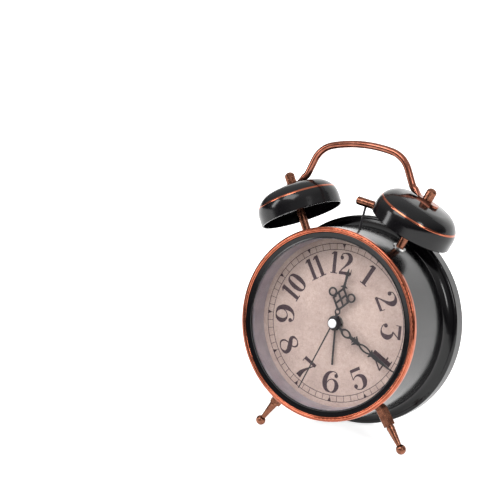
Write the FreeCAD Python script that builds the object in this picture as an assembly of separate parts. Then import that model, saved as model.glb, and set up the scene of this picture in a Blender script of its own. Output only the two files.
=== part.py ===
"""Twin-bell alarm clock: a battery clock with a striking hammer, bells, handle and ball feet.

Clock frame, millimetres: X to the right of someone reading the dial, Y back into the clock,
Z towards 12 o'clock, origin at the centre of the dial's printed face. The whole clock leans back
on two ball feet and its rear rim, so the last step tilts it and puts the origin under the middle
of its box, on the surface that it stands on.
"""
import FreeCAD, Part
import math
import os

V = FreeCAD.Vector
BACK = V(0, 1, 0)
UP = V(0, 0, 1)
RIGHT = V(1, 0, 0)

# ---- driving dimensions -------------------------------------------------------------------
RUN = 0.05              # radial running clearance of a shaft in its bore
BOLT = 0.1              # radial clearance of a screw or stud in its hole
GAP = 0.3               # free space between pieces that move past each other

BARREL_R = 52.5         # case barrel, outside
RIM_STEP = 6.0          # the rear rim band stands out from the barrel by this
SHEET = 0.9             # pressed steel of the case
BARREL_FRONT = -11.8    # front edge of the barrel
BAND_W = 9.4            # width of the rear rim band
FLARE_W = 6.6           # width of the flare between barrel and band
RIM_ROUND = 1.5         # rounding of the rim band's rear edge

BEZEL_FRONT = -14.6     # crest of the copper ring
BEZEL_WIDTH = 2.7
LIP_WIDTH = 3.4         # black ring inside the copper ring
LENS_T = 2.0
GASKET_T = 0.8
DIAL_T = 0.6
WALL_T = 0.8            # ring between dial and glass
GLASS_STACK = -13.1     # front face of the glass

BELL_R = 23.4
BELL_WALL_H = 5.2       # straight part of the bell's side
BELL_ROUND = 11.2       # shoulder radius
BELL_CROWN_H = 1.0      # rise of the crown above the shoulder
BELL_T = 1.0
BELL_MOUTH = 24.6       # between the two bells' rims, where the hammer swings
BELL_STAND = 11.9       # from the barrel out to the middle of a bell's rim
BELL_Y = 9.0
BELL_TILT = 26.3        # lean of the bell's axis away from 12 o'clock

POST_R = 2.35
STUD_R = 1.5
WASHER_R = 3.7
WASHER_T = 0.7
NUT_R = 2.8
NUT_L = 6.8
HEX_NUT = 2.75          # half width across flats of the nuts inside the case

HANDLE_ROD_R = 2.0
HANDLE_RISE = 42.4      # from the bells' rims up to the rod's centreline at its highest
HANDLE_CROWN_R = 78.0
HANDLE_CORNER_R = 15.0
HANDLE_SIDE = 66.5      # slope of the side runs, degrees
HANDLE_ELBOW_R = 5.0
STRAP_T = 1.2
STRAP_W = 6.4
STRAP_OUT = 7.5         # strap's reach outside the cap nut's axis
STRAP_IN = 7.4          # and inside it, up to where the rod begins
STRAP_BLEND = 3.2       # length over which the strap swells into the rod
STRAP_END = 2.6         # plain strap stops this far short of the rod

FOOT_ANGLE = 35.1       # from 6 o'clock
FOOT_Y = 3.1
FOOT_BALL_R = 2.8
FOOT_L = 23.72           # from the barrel to the centre of the ball
FOOT_HEX = 3.1          # half the hex sleeve's width across flats
FOOT_HEX_L = 9.8
FOOT_LEG_R = 2.35        # tapered leg, at the hex sleeve
FOOT_ANKLE_R = 1.35      # and at the ball

HAMMER_Y = 10.5
HAMMER_DEPTH = 14.5     # pivot below the barrel's surface
HAMMER_RISE = 11.5      # head's axis above the bells' rims when it is upright
HAMMER_HEAD_L = 11.2
HAMMER_HEAD_R = 2.35
HAMMER_TIP_L = 0.8
HAMMER_TIP_R = 0.7
HAMMER_WIRE_R = 0.65
HAMMER_SOCKET_R = 0.7    # hole in the head, filled with solder round the wire
STRIKE_GAP = 0.35       # air left between the tip and the bell at each end of the swing
SLOT_SPARE = 5.7        # slot left over beyond the wire's swing, each end
SLOT_W = 2.8

COVER_T = 2.0
COVER_RECESS = 0.8      # back cover sits this far inside the rim
COVER_EDGE = 2.1        # from the rim band's outside to the cover's edge
SCREW_IN = 5.4          # cover screws inside the cover's edge
SCREW_R = 1.0

MOVE_HALF = 29.0        # half width of the square movement
MOVE_FRONT = 0.8
MOVE_BACK = 16.0
MOVE_WALL = 1.2

BATTERY_R = 7.2
BATTERY_L = 49.2
BATTERY_Z = -32.0
BATTERY_PLAY = 0.3
BOX_WALL = 1.0
DOOR_T = 2.0

HAND_T = 0.3
HAND_REACH = 3.6        # minute hand's tip short of the glass opening
HOUR_HAND_L = 31.0
ALARM_HAND_L = 23.0
HOUR_LINE = 1.1          # width of the drawn lines in the hour hand's lattice
MINUTE_LINE = 0.9        # and in the minute hand's loops
HOUR_ANGLE = 10.3       # degrees clockwise from 12
MINUTE_ANGLE = 118.5
SECOND_ANGLE = 204.0
ALARM_ANGLE = 179.0

COVER_SCREWS = (90.0, 210.0, 330.0)     # about the clock's axis, the first at 6 o'clock
NECK_R = 3.2             # threaded neck of the movement, through the dial
NECK_BORE = 2.2
ROCKER_R = 2.6           # tube of the hammer on its pivot pin
PIVOT_R = 1.0
TAIL_Y = 17.6            # forked tail of the hammer
TAIL_T = 1.2
CRANK_Z = 24.0           # axis of the striking motor
CRANK_THROW = 2.4
CRANK_PIN_R = 0.8
BRACKET_Y = 21.4         # plate that holds hammer and motor
BRACKET_T = 1.2
ALARM_Y = 2.4            # front faces of the wheels, from the dial back
HOUR_Y = 4.0
MOTION_Y = 5.6
SECOND_Y = 8.2
TRANSFER_Y = 9.8
ROTOR_Y = 11.2
WHEEL_T = 1.0
SECOND_R = 0.45          # nested arbors and pipes of the hands
CANNON_R = 0.95
HOUR_R = 1.5
ALARM_R = 2.15
ARBOR_R = 1.0            # setting arbors
KNOB_R = 6.0             # setting knobs
SWITCH_X = 24.0          # alarm switch
SWITCH_Z = 16.0
SWITCH_TRAVEL = 5.0
DOOR_HALF = 26.6         # half width of the battery door
DOOR_GAP = 0.3
DOOR_PIN_R = 0.6

# ---- sizes that follow ----------------------------------------------------------------------
RIM_R = BARREL_R + RIM_STEP
BOX_FRONT = MOVE_BACK + 1.3
COVER_BACK = BOX_FRONT + BOX_WALL + 2 * (BATTERY_R + BATTERY_PLAY) + COVER_T
RIM_BACK = COVER_BACK + COVER_RECESS
FLARE_END = RIM_BACK - BAND_W
FLARE_START = FLARE_END - FLARE_W
LIP_R = BARREL_R - BEZEL_WIDTH - LIP_WIDTH      # glass opening
LENS_R = BARREL_R - BEZEL_WIDTH - 0.6           # the glass sits inside the black ring's skirt
BELL_H = BELL_WALL_H + BELL_ROUND + BELL_CROWN_H
BELL_X = BELL_MOUTH / 2 + BELL_R * math.cos(math.radians(BELL_TILT))
BELL_Z = math.sqrt((BARREL_R + BELL_STAND) ** 2 - BELL_X ** 2)
HANDLE_TOP = BELL_Z + HANDLE_RISE
FOOT_REACH = BARREL_R + FOOT_L
FOOT_HEX_END = BARREL_R + FOOT_HEX_L
HAMMER_PIVOT_Z = BARREL_R - HAMMER_DEPTH
HAMMER_REACH = BELL_Z + HAMMER_RISE - HAMMER_PIVOT_Z
COVER_R = RIM_R - COVER_EDGE
COVER_SCREW_R = COVER_R - SCREW_IN
MINUTE_HAND_L = LIP_R - HAND_REACH
SECOND_HAND_L = MINUTE_HAND_L - 0.8

# gear trains: teeth and modules
CANNON_TEETH, MOTION_TEETH, MOTION_MODULE = 12, 36, 0.5
LEAF_TEETH, HOUR_TEETH = 10, 40
ALARM_TEETH, ALARM_SET_TEETH, ALARM_MODULE = 48, 16, 0.4
SECOND_TEETH, TRANSFER_LEAVES, SECOND_MODULE = 60, 10, 0.35
TRANSFER_TEETH, ROTOR_LEAVES, ROTOR_MODULE = 50, 10, 0.3

MOTION_ARM = MOTION_MODULE * (CANNON_TEETH + MOTION_TEETH) / 2
HOUR_MODULE = 2 * MOTION_ARM / (LEAF_TEETH + HOUR_TEETH)
MOTION_ANGLE = 150.0
MOTION_X = MOTION_ARM * math.cos(math.radians(MOTION_ANGLE))
MOTION_Z = MOTION_ARM * math.sin(math.radians(MOTION_ANGLE))
TIME_SET_ANGLE = 210.0
TIME_SET_X = MOTION_X + MOTION_ARM * math.cos(math.radians(TIME_SET_ANGLE))
TIME_SET_Z = MOTION_Z + MOTION_ARM * math.sin(math.radians(TIME_SET_ANGLE))
ALARM_SET_X = ALARM_MODULE * (ALARM_TEETH + ALARM_SET_TEETH) / 2
TRANSFER_Z = SECOND_MODULE * (SECOND_TEETH + TRANSFER_LEAVES) / 2
ROTOR_X = ROTOR_MODULE * (TRANSFER_TEETH + ROTOR_LEAVES) / 2

DIAL_SEAT_R = BARREL_R - SHEET - 5.2     # the dial's edge lies on this ring inside the case
PIVOTS = ((0.0, TRANSFER_Z), (ROTOR_X, TRANSFER_Z))
KNOB_PLACES = ((TIME_SET_X, TIME_SET_Z), (ALARM_SET_X, 0.0))
CORNER = MOVE_HALF - 2.8
KNOB_FRONT = COVER_BACK + 0.6
KNOB_BACK = COVER_BACK + 7.4
DOOR_LOW = BATTERY_Z - BATTERY_R - 0.4
DOOR_HIGH = BATTERY_Z + BATTERY_R + 0.4
DOOR_AXIS_Y = COVER_BACK - COVER_T / 2
DOOR_AXIS_Z = DOOR_LOW + DOOR_T / 2

parts = {}


# ---- shape helpers --------------------------------------------------------------------------
def outline(points, place):
    """Closed wire through 2-D points; a step ("arc", middle, end) is a round stretch."""
    edges = []
    start = points[0]
    here = start
    for step in list(points[1:]) + [start]:
        if step[0] == "arc":
            edges.append(Part.Arc(place(here), place(step[1]), place(step[2])).toShape())
            here = step[2]
        elif step != here:
            edges.append(Part.LineSegment(place(here), place(step)).toShape())
            here = step
    return Part.Wire(edges)


def turned(points, base=V(0, 0, 0), axis=BACK, radial=RIGHT):
    """Solid of revolution of a closed outline of (radius, height) points."""
    wire = outline(points, lambda p: base + radial * p[0] + axis * p[1])
    return Part.Face(wire).revolve(base, axis, 360)


def dome(radius, low, top):
    """Round stretch of an outline, from (radius, low) to a smooth top on the axis."""
    rise = top - low
    ball = (radius ** 2 + rise ** 2) / (2 * abs(rise))
    half = math.asin(radius / ball) / 2
    centre = top - math.copysign(ball, rise)
    return ("arc", (ball * math.sin(half), centre + math.copysign(ball * math.cos(half), rise)), (0, top))


def rod(radius, start, end):
    return Part.makeCylinder(radius, (end - start).Length, start, end - start)


def shaft(radius, x, z, y0, y1):
    return rod(radius, V(x, y0, z), V(x, y1, z))


def tube(outer, inner, x, z, y0, y1):
    return shaft(outer, x, z, y0, y1).cut(shaft(inner, x, z, y0 - 1, y1 + 1))


def block(x0, x1, y0, y1, z0, z1):
    return Part.makeBox(x1 - x0, y1 - y0, z1 - z0, V(x0, y0, z0))


def sheet(points, y, thick):
    """Flat piece parallel to the dial, from a closed outline of (x, z) points."""
    return Part.Face(outline(points, lambda p: V(p[0], y, p[1]))).extrude(V(0, thick, 0))


def prism(sides, half_flat, base, axis, length, radial):
    """Regular prism along axis, given half its width across flats."""
    across = axis.cross(radial)
    reach = half_flat / math.cos(math.pi / sides)
    corners = []
    for i in range(sides):
        turn = 2 * math.pi * (i + 0.5) / sides
        corners.append(base + radial * (reach * math.cos(turn)) + across * (reach * math.sin(turn)))
    return Part.Face(Part.makePolygon(corners + corners[:1])).extrude(axis * length)


def fuse(first, *others):
    return first.fuse(list(others)).removeSplitter() if others else first


def whole(shape):
    """The one solid of a shape that is a single piece."""
    return shape.Solids[0] if len(shape.Solids) == 1 else shape


def gear(teeth, module, x, z, y0, y1, phase, bore):
    """Spur gear with straight-flanked teeth; one tooth is centred at phase degrees."""
    pitch_r = module * teeth / 2
    tip_r = pitch_r + 0.85 * module
    root_r = pitch_r - 1.15 * module
    step = 2 * math.pi / teeth
    shares = ((root_r, -0.31), (tip_r, -0.11), (tip_r, 0.11), (root_r, 0.31))
    corners = []
    for i in range(teeth):
        for r, share in shares:
            turn = math.radians(phase) + step * (i + share)
            corners.append((x + r * math.cos(turn), z + r * math.sin(turn)))
    blank = sheet(corners, y0, y1 - y0)
    return blank.cut(shaft(bore, x, z, y0 - 1, y1 + 1)) if bore else blank


def gap_phase(direction, teeth):
    """Phase that puts a gap between two teeth in a direction, in degrees."""
    return direction + 180.0 / teeth


# ---- frame of a bell: base on its rim plane, axis up through its crown -----------------------
def bell_frame(side):
    tilt = math.radians(BELL_TILT)
    base = V(side * BELL_X, BELL_Y, BELL_Z)
    axis = V(side * math.sin(tilt), 0, math.cos(tilt))
    radial = V(side * math.cos(tilt), 0, -math.sin(tilt))
    return base, axis, radial


def reach_of_case(base, axis, radius):
    """Distance down a post's axis from base to a case cylinder of the given radius."""
    along = base.x * axis.x + base.z * axis.z
    return along - math.sqrt(along ** 2 - base.x ** 2 - base.z ** 2 + radius ** 2)


def case_cylinder(radius):
    return shaft(radius, 0, 0, BARREL_FRONT - 20, RIM_BACK + 20)


# ---- case ------------------------------------------------------------------------------------
def case_shell():
    inner = BARREL_R - SHEET
    rim_in = RIM_R - SHEET
    band = FLARE_END + 1.2
    neck = RIM_R - 2.0
    outer_bend = ((BARREL_R + neck) / 2 - 1.1, (FLARE_START + FLARE_END) / 2 + 1.1)
    inner_bend = (outer_bend[0] - SHEET * 0.7, outer_bend[1] + SHEET * 0.7)
    soft = RIM_ROUND * (1 - math.sqrt(0.5))
    profile = [
        (inner, BARREL_FRONT), (BARREL_R, BARREL_FRONT), (BARREL_R, FLARE_START),
        ("arc", outer_bend, (neck, FLARE_END)),
        ("arc", (RIM_R - 0.45, FLARE_END + 0.5), (RIM_R, band)),
        (RIM_R, RIM_BACK - RIM_ROUND),
        ("arc", (RIM_R - soft, RIM_BACK - soft), (RIM_R - RIM_ROUND, RIM_BACK)),
        (RIM_R - RIM_ROUND, RIM_BACK - SHEET),
        ("arc", (rim_in - soft * 0.6, RIM_BACK - SHEET - soft * 0.6 + 0.2), (rim_in, RIM_BACK - RIM_ROUND)),
        (rim_in, band + 0.4),
        (neck - SHEET * 0.4, FLARE_END + SHEET),
        ("arc", inner_bend, (inner, FLARE_START + 0.4)),
    ]
    shell = turned(profile)
    seat = turned([(DIAL_SEAT_R, DIAL_T), (inner + 0.2, DIAL_T), (inner + 0.2, DIAL_T + 1.4),
                   (DIAL_SEAT_R, DIAL_T + 1.4)])
    for side in (-1, 1):
        foot, middle = foot_axis(side), V(0, FOOT_Y, 0)
        seat = seat.cut(rod(HEX_NUT + 1.0, middle + foot * (DIAL_SEAT_R - 3), middle + foot * inner))
    seat_top = COVER_BACK - COVER_T
    tabs = []
    for angle in COVER_SCREWS:
        tab = block(COVER_SCREW_R - 3.5, rim_in + 0.3, seat_top - 1.5, seat_top, -4, 4)
        tab = tab.cut(shaft(SCREW_R, COVER_SCREW_R, 0, seat_top - 5, seat_top + 5))
        tab.rotate(V(0, 0, 0), BACK, angle)
        tabs.append(tab)
    shell = fuse(shell, seat, *tabs)
    for side in (-1, 1):
        base, axis, radial = bell_frame(side)
        shell = shell.cut(rod(STUD_R + BOLT, base, base - axis * 22))
        foot = foot_axis(side)
        middle = V(0, FOOT_Y, 0)
        shell = shell.cut(rod(STUD_R + BOLT, middle + foot * (BARREL_R - 3), middle + foot * (BARREL_R + 3)))
    swing = (BARREL_R - HAMMER_PIVOT_Z) * math.tan(math.radians(SWING))
    half = swing + HAMMER_WIRE_R + SLOT_SPARE - SLOT_W / 2
    low, high = BARREL_R - 6, BARREL_R + 3
    slot = block(-half, half, HAMMER_Y - SLOT_W / 2, HAMMER_Y + SLOT_W / 2, low, high)
    for x in (-half, half):
        slot = slot.fuse(rod(SLOT_W / 2, V(x, HAMMER_Y, low), V(x, HAMMER_Y, high)))
    return whole(shell.cut(slot))


def bezel_ring():
    inner = BARREL_R - BEZEL_WIDTH
    crest = (BARREL_R + inner) / 2
    return whole(turned([
        (inner + 0.9, BARREL_FRONT + 2.6), (inner + 0.9, GLASS_STACK + 0.6), (inner, GLASS_STACK + 0.1),
        (inner, BEZEL_FRONT + 0.8),
        ("arc", (inner + 0.22, BEZEL_FRONT + 0.32), (inner + 0.62, BEZEL_FRONT + 0.25)),
        (inner + 0.75, BEZEL_FRONT + 0.4), (inner + 0.88, BEZEL_FRONT + 0.18),
        ("arc", (crest, BEZEL_FRONT), (BARREL_R - 0.85, BEZEL_FRONT + 0.22)),
        (BARREL_R - 0.72, BEZEL_FRONT + 0.45), (BARREL_R - 0.6, BEZEL_FRONT + 0.34),
        ("arc", (BARREL_R - 0.14, BEZEL_FRONT + 0.62), (BARREL_R + 0.1, BEZEL_FRONT + 1.2)),
        (BARREL_R + 0.1, BARREL_FRONT), (BARREL_R - SHEET, BARREL_FRONT),
        (BARREL_R - SHEET, BARREL_FRONT + 2.6)]))


def inner_bezel():
    """Black ring between the copper ring and the glass, held under the copper ring's edge."""
    outer = BARREL_R - BEZEL_WIDTH
    front = BEZEL_FRONT + 0.7
    return whole(turned([
        (LIP_R, GLASS_STACK), (LIP_R, GLASS_STACK - 0.35),
        ("arc", (LIP_R + 0.12, GLASS_STACK - 0.52), (LIP_R + 0.35, GLASS_STACK - 0.55)),
        (LIP_R + 0.8, GLASS_STACK - 0.42), (outer - 0.3, front),
        (outer, front + 0.15), (outer, GLASS_STACK + 0.1), (outer + 0.9, GLASS_STACK + 0.6),
        (outer + 0.9, GLASS_STACK + 3.0), (LENS_R, GLASS_STACK + 3.0), (LENS_R, GLASS_STACK)]))


def lens():
    return shaft(LENS_R - 0.05, 0, 0, GLASS_STACK, GLASS_STACK + LENS_T)


def lens_gasket():
    back = GLASS_STACK + LENS_T
    return tube(LENS_R - 0.1, LIP_R - 0.1, 0, 0, back, back + GASKET_T)


def dial_wall():
    """Pale ring that keeps the glass off the hands; it stands on the dial's edge."""
    front = GLASS_STACK + LENS_T + GASKET_T
    inner = LIP_R - 0.3
    return whole(turned([
        (inner, front), (LENS_R - 0.1, front), (LENS_R - 0.1, front + 0.8),
        (inner + WALL_T, front + 0.8), (inner + WALL_T, 0), (inner, 0)]))


def dial():
    return tube(LENS_R - 0.9, NECK_R + BOLT, 0, 0, 0, DIAL_T)


def rear_cover():
    front = COVER_BACK - COVER_T
    cover = shaft(COVER_R, 0, 0, front, COVER_BACK)
    edge = [e for e in cover.Edges if abs(e.BoundBox.YMin - COVER_BACK) < 1e-4 and e.BoundBox.YLength < 1e-4]
    cover = cover.makeFillet(0.8, edge)
    cuts = [block(-DOOR_HALF - DOOR_GAP, DOOR_HALF + DOOR_GAP, front - 1, COVER_BACK + 1,
                  DOOR_LOW - DOOR_GAP, DOOR_HIGH + DOOR_GAP)]
    cuts += [shaft(ARBOR_R + RUN, x, z, front - 1, COVER_BACK + 1) for x, z in KNOB_PLACES]
    cuts.append(block(SWITCH_X - SWITCH_TRAVEL / 2 - 2.3, SWITCH_X + SWITCH_TRAVEL / 2 + 2.3,
                      front - 1, COVER_BACK + 1, SWITCH_Z - 1.8, SWITCH_Z + 1.8))
    for angle in COVER_SCREWS:
        hole = shaft(SCREW_R + BOLT, COVER_SCREW_R, 0, front - 1, COVER_BACK + 1)
        hole.rotate(V(0, 0, 0), BACK, angle)
        cuts.append(hole)
    for side in (-1, 1):
        cuts.append(rod(DOOR_PIN_R + RUN, V(side * (DOOR_HALF - 1), DOOR_AXIS_Y, DOOR_AXIS_Z),
                        V(side * (DOOR_HALF + 2), DOOR_AXIS_Y, DOOR_AXIS_Z)))
    cover = cover.cut(cuts)
    grille = [shaft(0.8, column * 3.2, 27 + row * 3.2, front - 1, COVER_BACK + 1)
              for row in range(3) for column in range(-2, 3)]
    return whole(cover.cut(grille).cut(battery_box_blank()))


def rear_cover_screws():
    screws = []
    for angle in COVER_SCREWS:
        head = turned([(0, COVER_BACK), (1.9, COVER_BACK), dome(1.9, COVER_BACK, COVER_BACK + 0.8)])
        slot = block(-2.5, 2.5, COVER_BACK + 0.35, COVER_BACK + 2, -0.3, 0.3)
        screw = fuse(head.cut(slot), shaft(SCREW_R, 0, 0, COVER_BACK - COVER_T - 1.5, COVER_BACK))
        screw.translate(V(COVER_SCREW_R, 0, 0))
        screw.rotate(V(0, 0, 0), BACK, angle)
        screws.append(screw)
    return Part.makeCompound(screws)


# ---- bells, posts, nuts and handle ------------------------------------------------------------
def bell_profile(offset):
    """Points of the bell's skin, moved inwards by offset: rim, wall, shoulder and crown."""
    centre = BELL_R - BELL_ROUND
    rise = BELL_H - BELL_WALL_H
    crown = (centre ** 2 + rise ** 2 - BELL_ROUND ** 2) / (2 * (rise - BELL_ROUND))
    radius = BELL_ROUND - offset
    lean = math.asin(centre / (crown - BELL_ROUND))
    shoulder = (math.pi / 2 - lean) / 2
    meet = (centre + radius * math.sin(lean), BELL_WALL_H + radius * math.cos(lean))
    bend = (centre + radius * math.cos(shoulder), BELL_WALL_H + radius * math.sin(shoulder))
    low = BELL_H - crown
    half = (crown - offset) * math.sin(lean / 2)
    top_bend = (half, low + (crown - offset) * math.cos(lean / 2))
    return (BELL_R - offset), bend, meet, top_bend, BELL_H - offset


def bell(side):
    base, axis, radial = bell_frame(side)
    rim, bend, meet, top_bend, top = bell_profile(0)
    rim_in, bend_in, meet_in, top_bend_in, top_in = bell_profile(BELL_T)
    skin = turned([
        (rim - 0.3, 0), (rim, 0.3), (rim, BELL_WALL_H), ("arc", bend, meet), ("arc", top_bend, (0, top)),
        (0, top_in), ("arc", top_bend_in, meet_in), ("arc", bend_in, (rim_in, BELL_WALL_H)),
        (rim_in, 0.2), (rim_in + 0.2, 0)], base, axis, radial)
    return whole(skin.cut(rod(STUD_R + BOLT, base, base + axis * (BELL_H + 5))))


def bell_post(side):
    """Plain post with a thinner stud at each end, one through the case and one through the bell."""
    base, axis, radial = bell_frame(side)
    low = -reach_of_case(base, axis, BARREL_R) + WASHER_T
    shoulder = BELL_H - BELL_T
    top = BELL_H + STRAP_T + NUT_L - 1.6
    post = rod(POST_R, base + axis * low, base + axis * shoulder)
    stud = rod(STUD_R, base + axis * (low - 7), base + axis * top)
    return whole(fuse(post.cut(bell(side)), stud))


def post_washer(side):
    base, axis, radial = bell_frame(side)
    low = -reach_of_case(base, axis, BARREL_R)
    washer = rod(WASHER_R, base + axis * (low - 1.5), base + axis * (low + WASHER_T))
    hole = rod(STUD_R + BOLT, base + axis * (low - 3), base + axis * (low + 3))
    return whole(washer.cut(hole).cut(case_cylinder(BARREL_R)))


def post_nut(side):
    """Hex nut inside the case."""
    base, axis, radial = bell_frame(side)
    low = -reach_of_case(base, axis, BARREL_R - SHEET)
    nut = prism(6, HEX_NUT, base + axis * (low - 3.2), axis, 4.5, radial)
    nut = nut.cut(rod(STUD_R, base + axis * (low - 5), base + axis * (low + 5)))
    return whole(nut.common(case_cylinder(BARREL_R - SHEET)))


def cap_nut(side):
    """Fluted barrel nut with a domed top."""
    base, axis, radial = bell_frame(side)
    foot = base + axis * (BELL_H + STRAP_T)
    crown = 1.7
    nut = turned([(0, 0), (NUT_R - 0.25, 0), (NUT_R, 0.25), (NUT_R, NUT_L - crown),
                  dome(NUT_R, NUT_L - crown, NUT_L)], foot, axis, radial)
    across = axis.cross(radial)
    flutes = []
    for i in range(16):
        turn = 2 * math.pi * i / 16
        edge = radial * (NUT_R * 1.04 * math.cos(turn)) + across * (NUT_R * 1.04 * math.sin(turn))
        flutes.append(rod(0.22, foot + edge - axis, foot + edge + axis * (NUT_L - crown - 0.3)))
    socket = rod(STUD_R, foot - axis, foot + axis * (NUT_L - 1.6))
    return whole(nut.cut(flutes).cut(socket))


def handle_points(side):
    """Elbow, side run, corner and crown of the handle's rod on one side, as (x, z) points."""
    base, axis, radial = bell_frame(1)
    strap = base - radial * STRAP_IN + axis * (BELL_H + STRAP_T / 2)
    along = (-radial.x, -radial.z)
    slope = math.radians(180 - HANDLE_SIDE)
    run = (math.cos(slope), math.sin(slope))
    turn = slope - math.atan2(along[1], along[0])
    cut = HANDLE_ELBOW_R * math.tan(abs(turn) / 2)
    lift = HANDLE_ROD_R - STRAP_T / 2
    corner = (strap.x + axis.x * lift + along[0] * (cut + 1.0),
              strap.z + axis.z * lift + along[1] * (cut + 1.0))
    start = (corner[0] - along[0] * cut, corner[1] - along[1] * cut)
    leave = (corner[0] + run[0] * cut, corner[1] + run[1] * cut)
    # fillet between the side run and the crown's big circle
    crown_z = HANDLE_TOP - HANDLE_CROWN_R
    inward = (-run[1], run[0])
    inner = HANDLE_CROWN_R - HANDLE_CORNER_R
    px = leave[0] + inward[0] * HANDLE_CORNER_R
    pz = leave[1] + inward[1] * HANDLE_CORNER_R - crown_z
    half = px * run[0] + pz * run[1]
    reach = -half + math.sqrt(half ** 2 - px ** 2 - pz ** 2 + inner ** 2)
    centre = (px + run[0] * reach, pz + run[1] * reach + crown_z)
    side_end = (leave[0] + run[0] * reach, leave[1] + run[1] * reach)
    swing = math.atan2(centre[0], centre[1] - crown_z)
    crown = (HANDLE_CROWN_R * math.sin(swing), crown_z + HANDLE_CROWN_R * math.cos(swing))
    first = math.atan2(side_end[1] - centre[1], side_end[0] - centre[0])
    middle = (first + math.pi / 2 - swing) / 2
    bend = (centre[0] + HANDLE_CORNER_R * math.cos(middle), centre[1] + HANDLE_CORNER_R * math.sin(middle))
    elbow = arc_middle(start, corner, leave, HANDLE_ELBOW_R)
    return [(side * x, z) for x, z in (start, elbow, leave, side_end, bend, crown)]


def arc_middle(start, corner, end, radius):
    """Middle of the arc that rounds a corner, between its two tangent points."""
    mid = ((start[0] + end[0]) / 2, (start[1] + end[1]) / 2)
    out = (corner[0] - mid[0], corner[1] - mid[1])
    reach = math.hypot(*out)
    half = math.hypot(end[0] - start[0], end[1] - start[1]) / 2
    rise = radius - math.sqrt(radius ** 2 - half ** 2)
    return (mid[0] + out[0] / reach * rise, mid[1] + out[1] / reach * rise)


def handle():
    """One bent rod; each end is pressed flat into a strap that the cap nut clamps on its bell."""
    spot = {}
    for side in (-1, 1):
        spot[side] = [V(x, BELL_Y, z) for x, z in handle_points(side)]
    left, right = spot[-1], spot[1]
    top = V(0, BELL_Y, HANDLE_TOP)
    edges = [
        Part.Arc(left[0], left[1], left[2]).toShape(), Part.LineSegment(left[2], left[3]).toShape(),
        Part.Arc(left[3], left[4], left[5]).toShape(), Part.Arc(left[5], top, right[5]).toShape(),
        Part.Arc(right[5], right[4], right[3]).toShape(), Part.LineSegment(right[3], right[2]).toShape(),
        Part.Arc(right[2], right[1], right[0]).toShape()]
    path = Part.Wire(edges)
    pieces = []
    for side in (-1, 1):
        base, axis, radial = bell_frame(side)
        start = spot[side][0]
        low = base + axis * BELL_H
        inward = radial * -1
        round_end = Part.Wire(Part.Circle(start, inward, HANDLE_ROD_R).toShape())
        flat = low - radial * (STRAP_IN - STRAP_BLEND) + axis * (STRAP_T / 2)
        flat_end = Part.Ellipse(flat + BACK * (0.42 * STRAP_W), flat + axis * (0.42 * STRAP_T), flat)
        pieces.append(Part.makeLoft([Part.Wire(flat_end.toShape()), round_end], True))
        strap = rod(STRAP_W / 2, low + radial * (STRAP_OUT - STRAP_W / 2),
                    low + radial * (STRAP_OUT - STRAP_W / 2) + axis * STRAP_T)
        corners = [low + radial * u + BACK * v for u, v in (
            (STRAP_OUT - STRAP_W / 2, -STRAP_W / 2), (STRAP_OUT - STRAP_W / 2, STRAP_W / 2),
            (STRAP_END - STRAP_IN, 0.43 * STRAP_W), (STRAP_END - STRAP_IN, -0.43 * STRAP_W))]
        plate = Part.Face(Part.makePolygon(corners + corners[:1])).extrude(axis * STRAP_T)
        hole = rod(STUD_R + BOLT, low - axis, low + axis * 3)
        pieces.append(strap.fuse(plate).cut(hole))
        if side == -1:
            pieces.append(path.makePipe(Part.Face(round_end)))
    return whole(pieces[0].fuse(pieces[1:]))


# ---- feet --------------------------------------------------------------------------------------
def foot_axis(side):
    angle = math.radians(FOOT_ANGLE)
    return V(side * math.sin(angle), 0, -math.cos(angle))


def foot(side):
    """Hex sleeve, tapered leg and ball, turned from one bar, with a stud through the case."""
    axis = foot_axis(side)
    middle = V(0, FOOT_Y, 0)
    sleeve = prism(6, FOOT_HEX, middle + axis * (BARREL_R - 2), axis, FOOT_HEX_END - BARREL_R + 2, BACK)
    sides = [e for e in sleeve.Edges if abs(e.Length - (FOOT_HEX_END - BARREL_R + 2)) < 1e-3]
    sleeve = sleeve.makeFillet(0.35, sides).cut(case_cylinder(BARREL_R))
    neck = FOOT_REACH - FOOT_BALL_R * 0.8
    groove = FOOT_LEG_R - 0.35
    leg = turned([(0, FOOT_HEX_END - 1), (groove, FOOT_HEX_END - 1), (groove, FOOT_HEX_END + 0.5),
                  (FOOT_LEG_R, FOOT_HEX_END + 0.7), (FOOT_ANKLE_R, neck), (0, neck)], middle, axis, BACK)
    ball = Part.makeSphere(FOOT_BALL_R, middle + axis * FOOT_REACH)
    stud = rod(STUD_R, middle + axis * (BARREL_R - SHEET - 3.3), middle + axis * (BARREL_R + 2))
    return whole(fuse(sleeve, leg, ball, stud))


def foot_nut(side):
    axis = foot_axis(side)
    middle = V(0, FOOT_Y, 0)
    nut = prism(6, HEX_NUT, middle + axis * (BARREL_R - SHEET - 3.0), axis, 4.0, BACK)
    nut = nut.cut(rod(STUD_R, middle + axis * (BARREL_R - 12), middle + axis * BARREL_R))
    return whole(nut.common(case_cylinder(BARREL_R - SHEET)))


# ---- hammer --------------------------------------------------------------------------------------
def tip_clearance(swing):
    """Distance from the tip's end to the bell's wall when the hammer leans over by swing degrees."""
    lean = math.radians(swing)
    tilt = math.radians(BELL_TILT)
    rim = (BELL_X - BELL_R * math.cos(tilt), BELL_Z + BELL_R * math.sin(tilt))
    reach = HAMMER_HEAD_L / 2 + HAMMER_TIP_L
    end = (HAMMER_REACH * math.sin(lean) + reach * math.cos(lean),
           HAMMER_PIVOT_Z + HAMMER_REACH * math.cos(lean) - reach * math.sin(lean))
    off = (end[0] - rim[0], end[1] - rim[1])
    return -off[0] * math.cos(tilt) + off[1] * math.sin(tilt) - HAMMER_TIP_R * math.sin(abs(tilt - lean))


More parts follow.
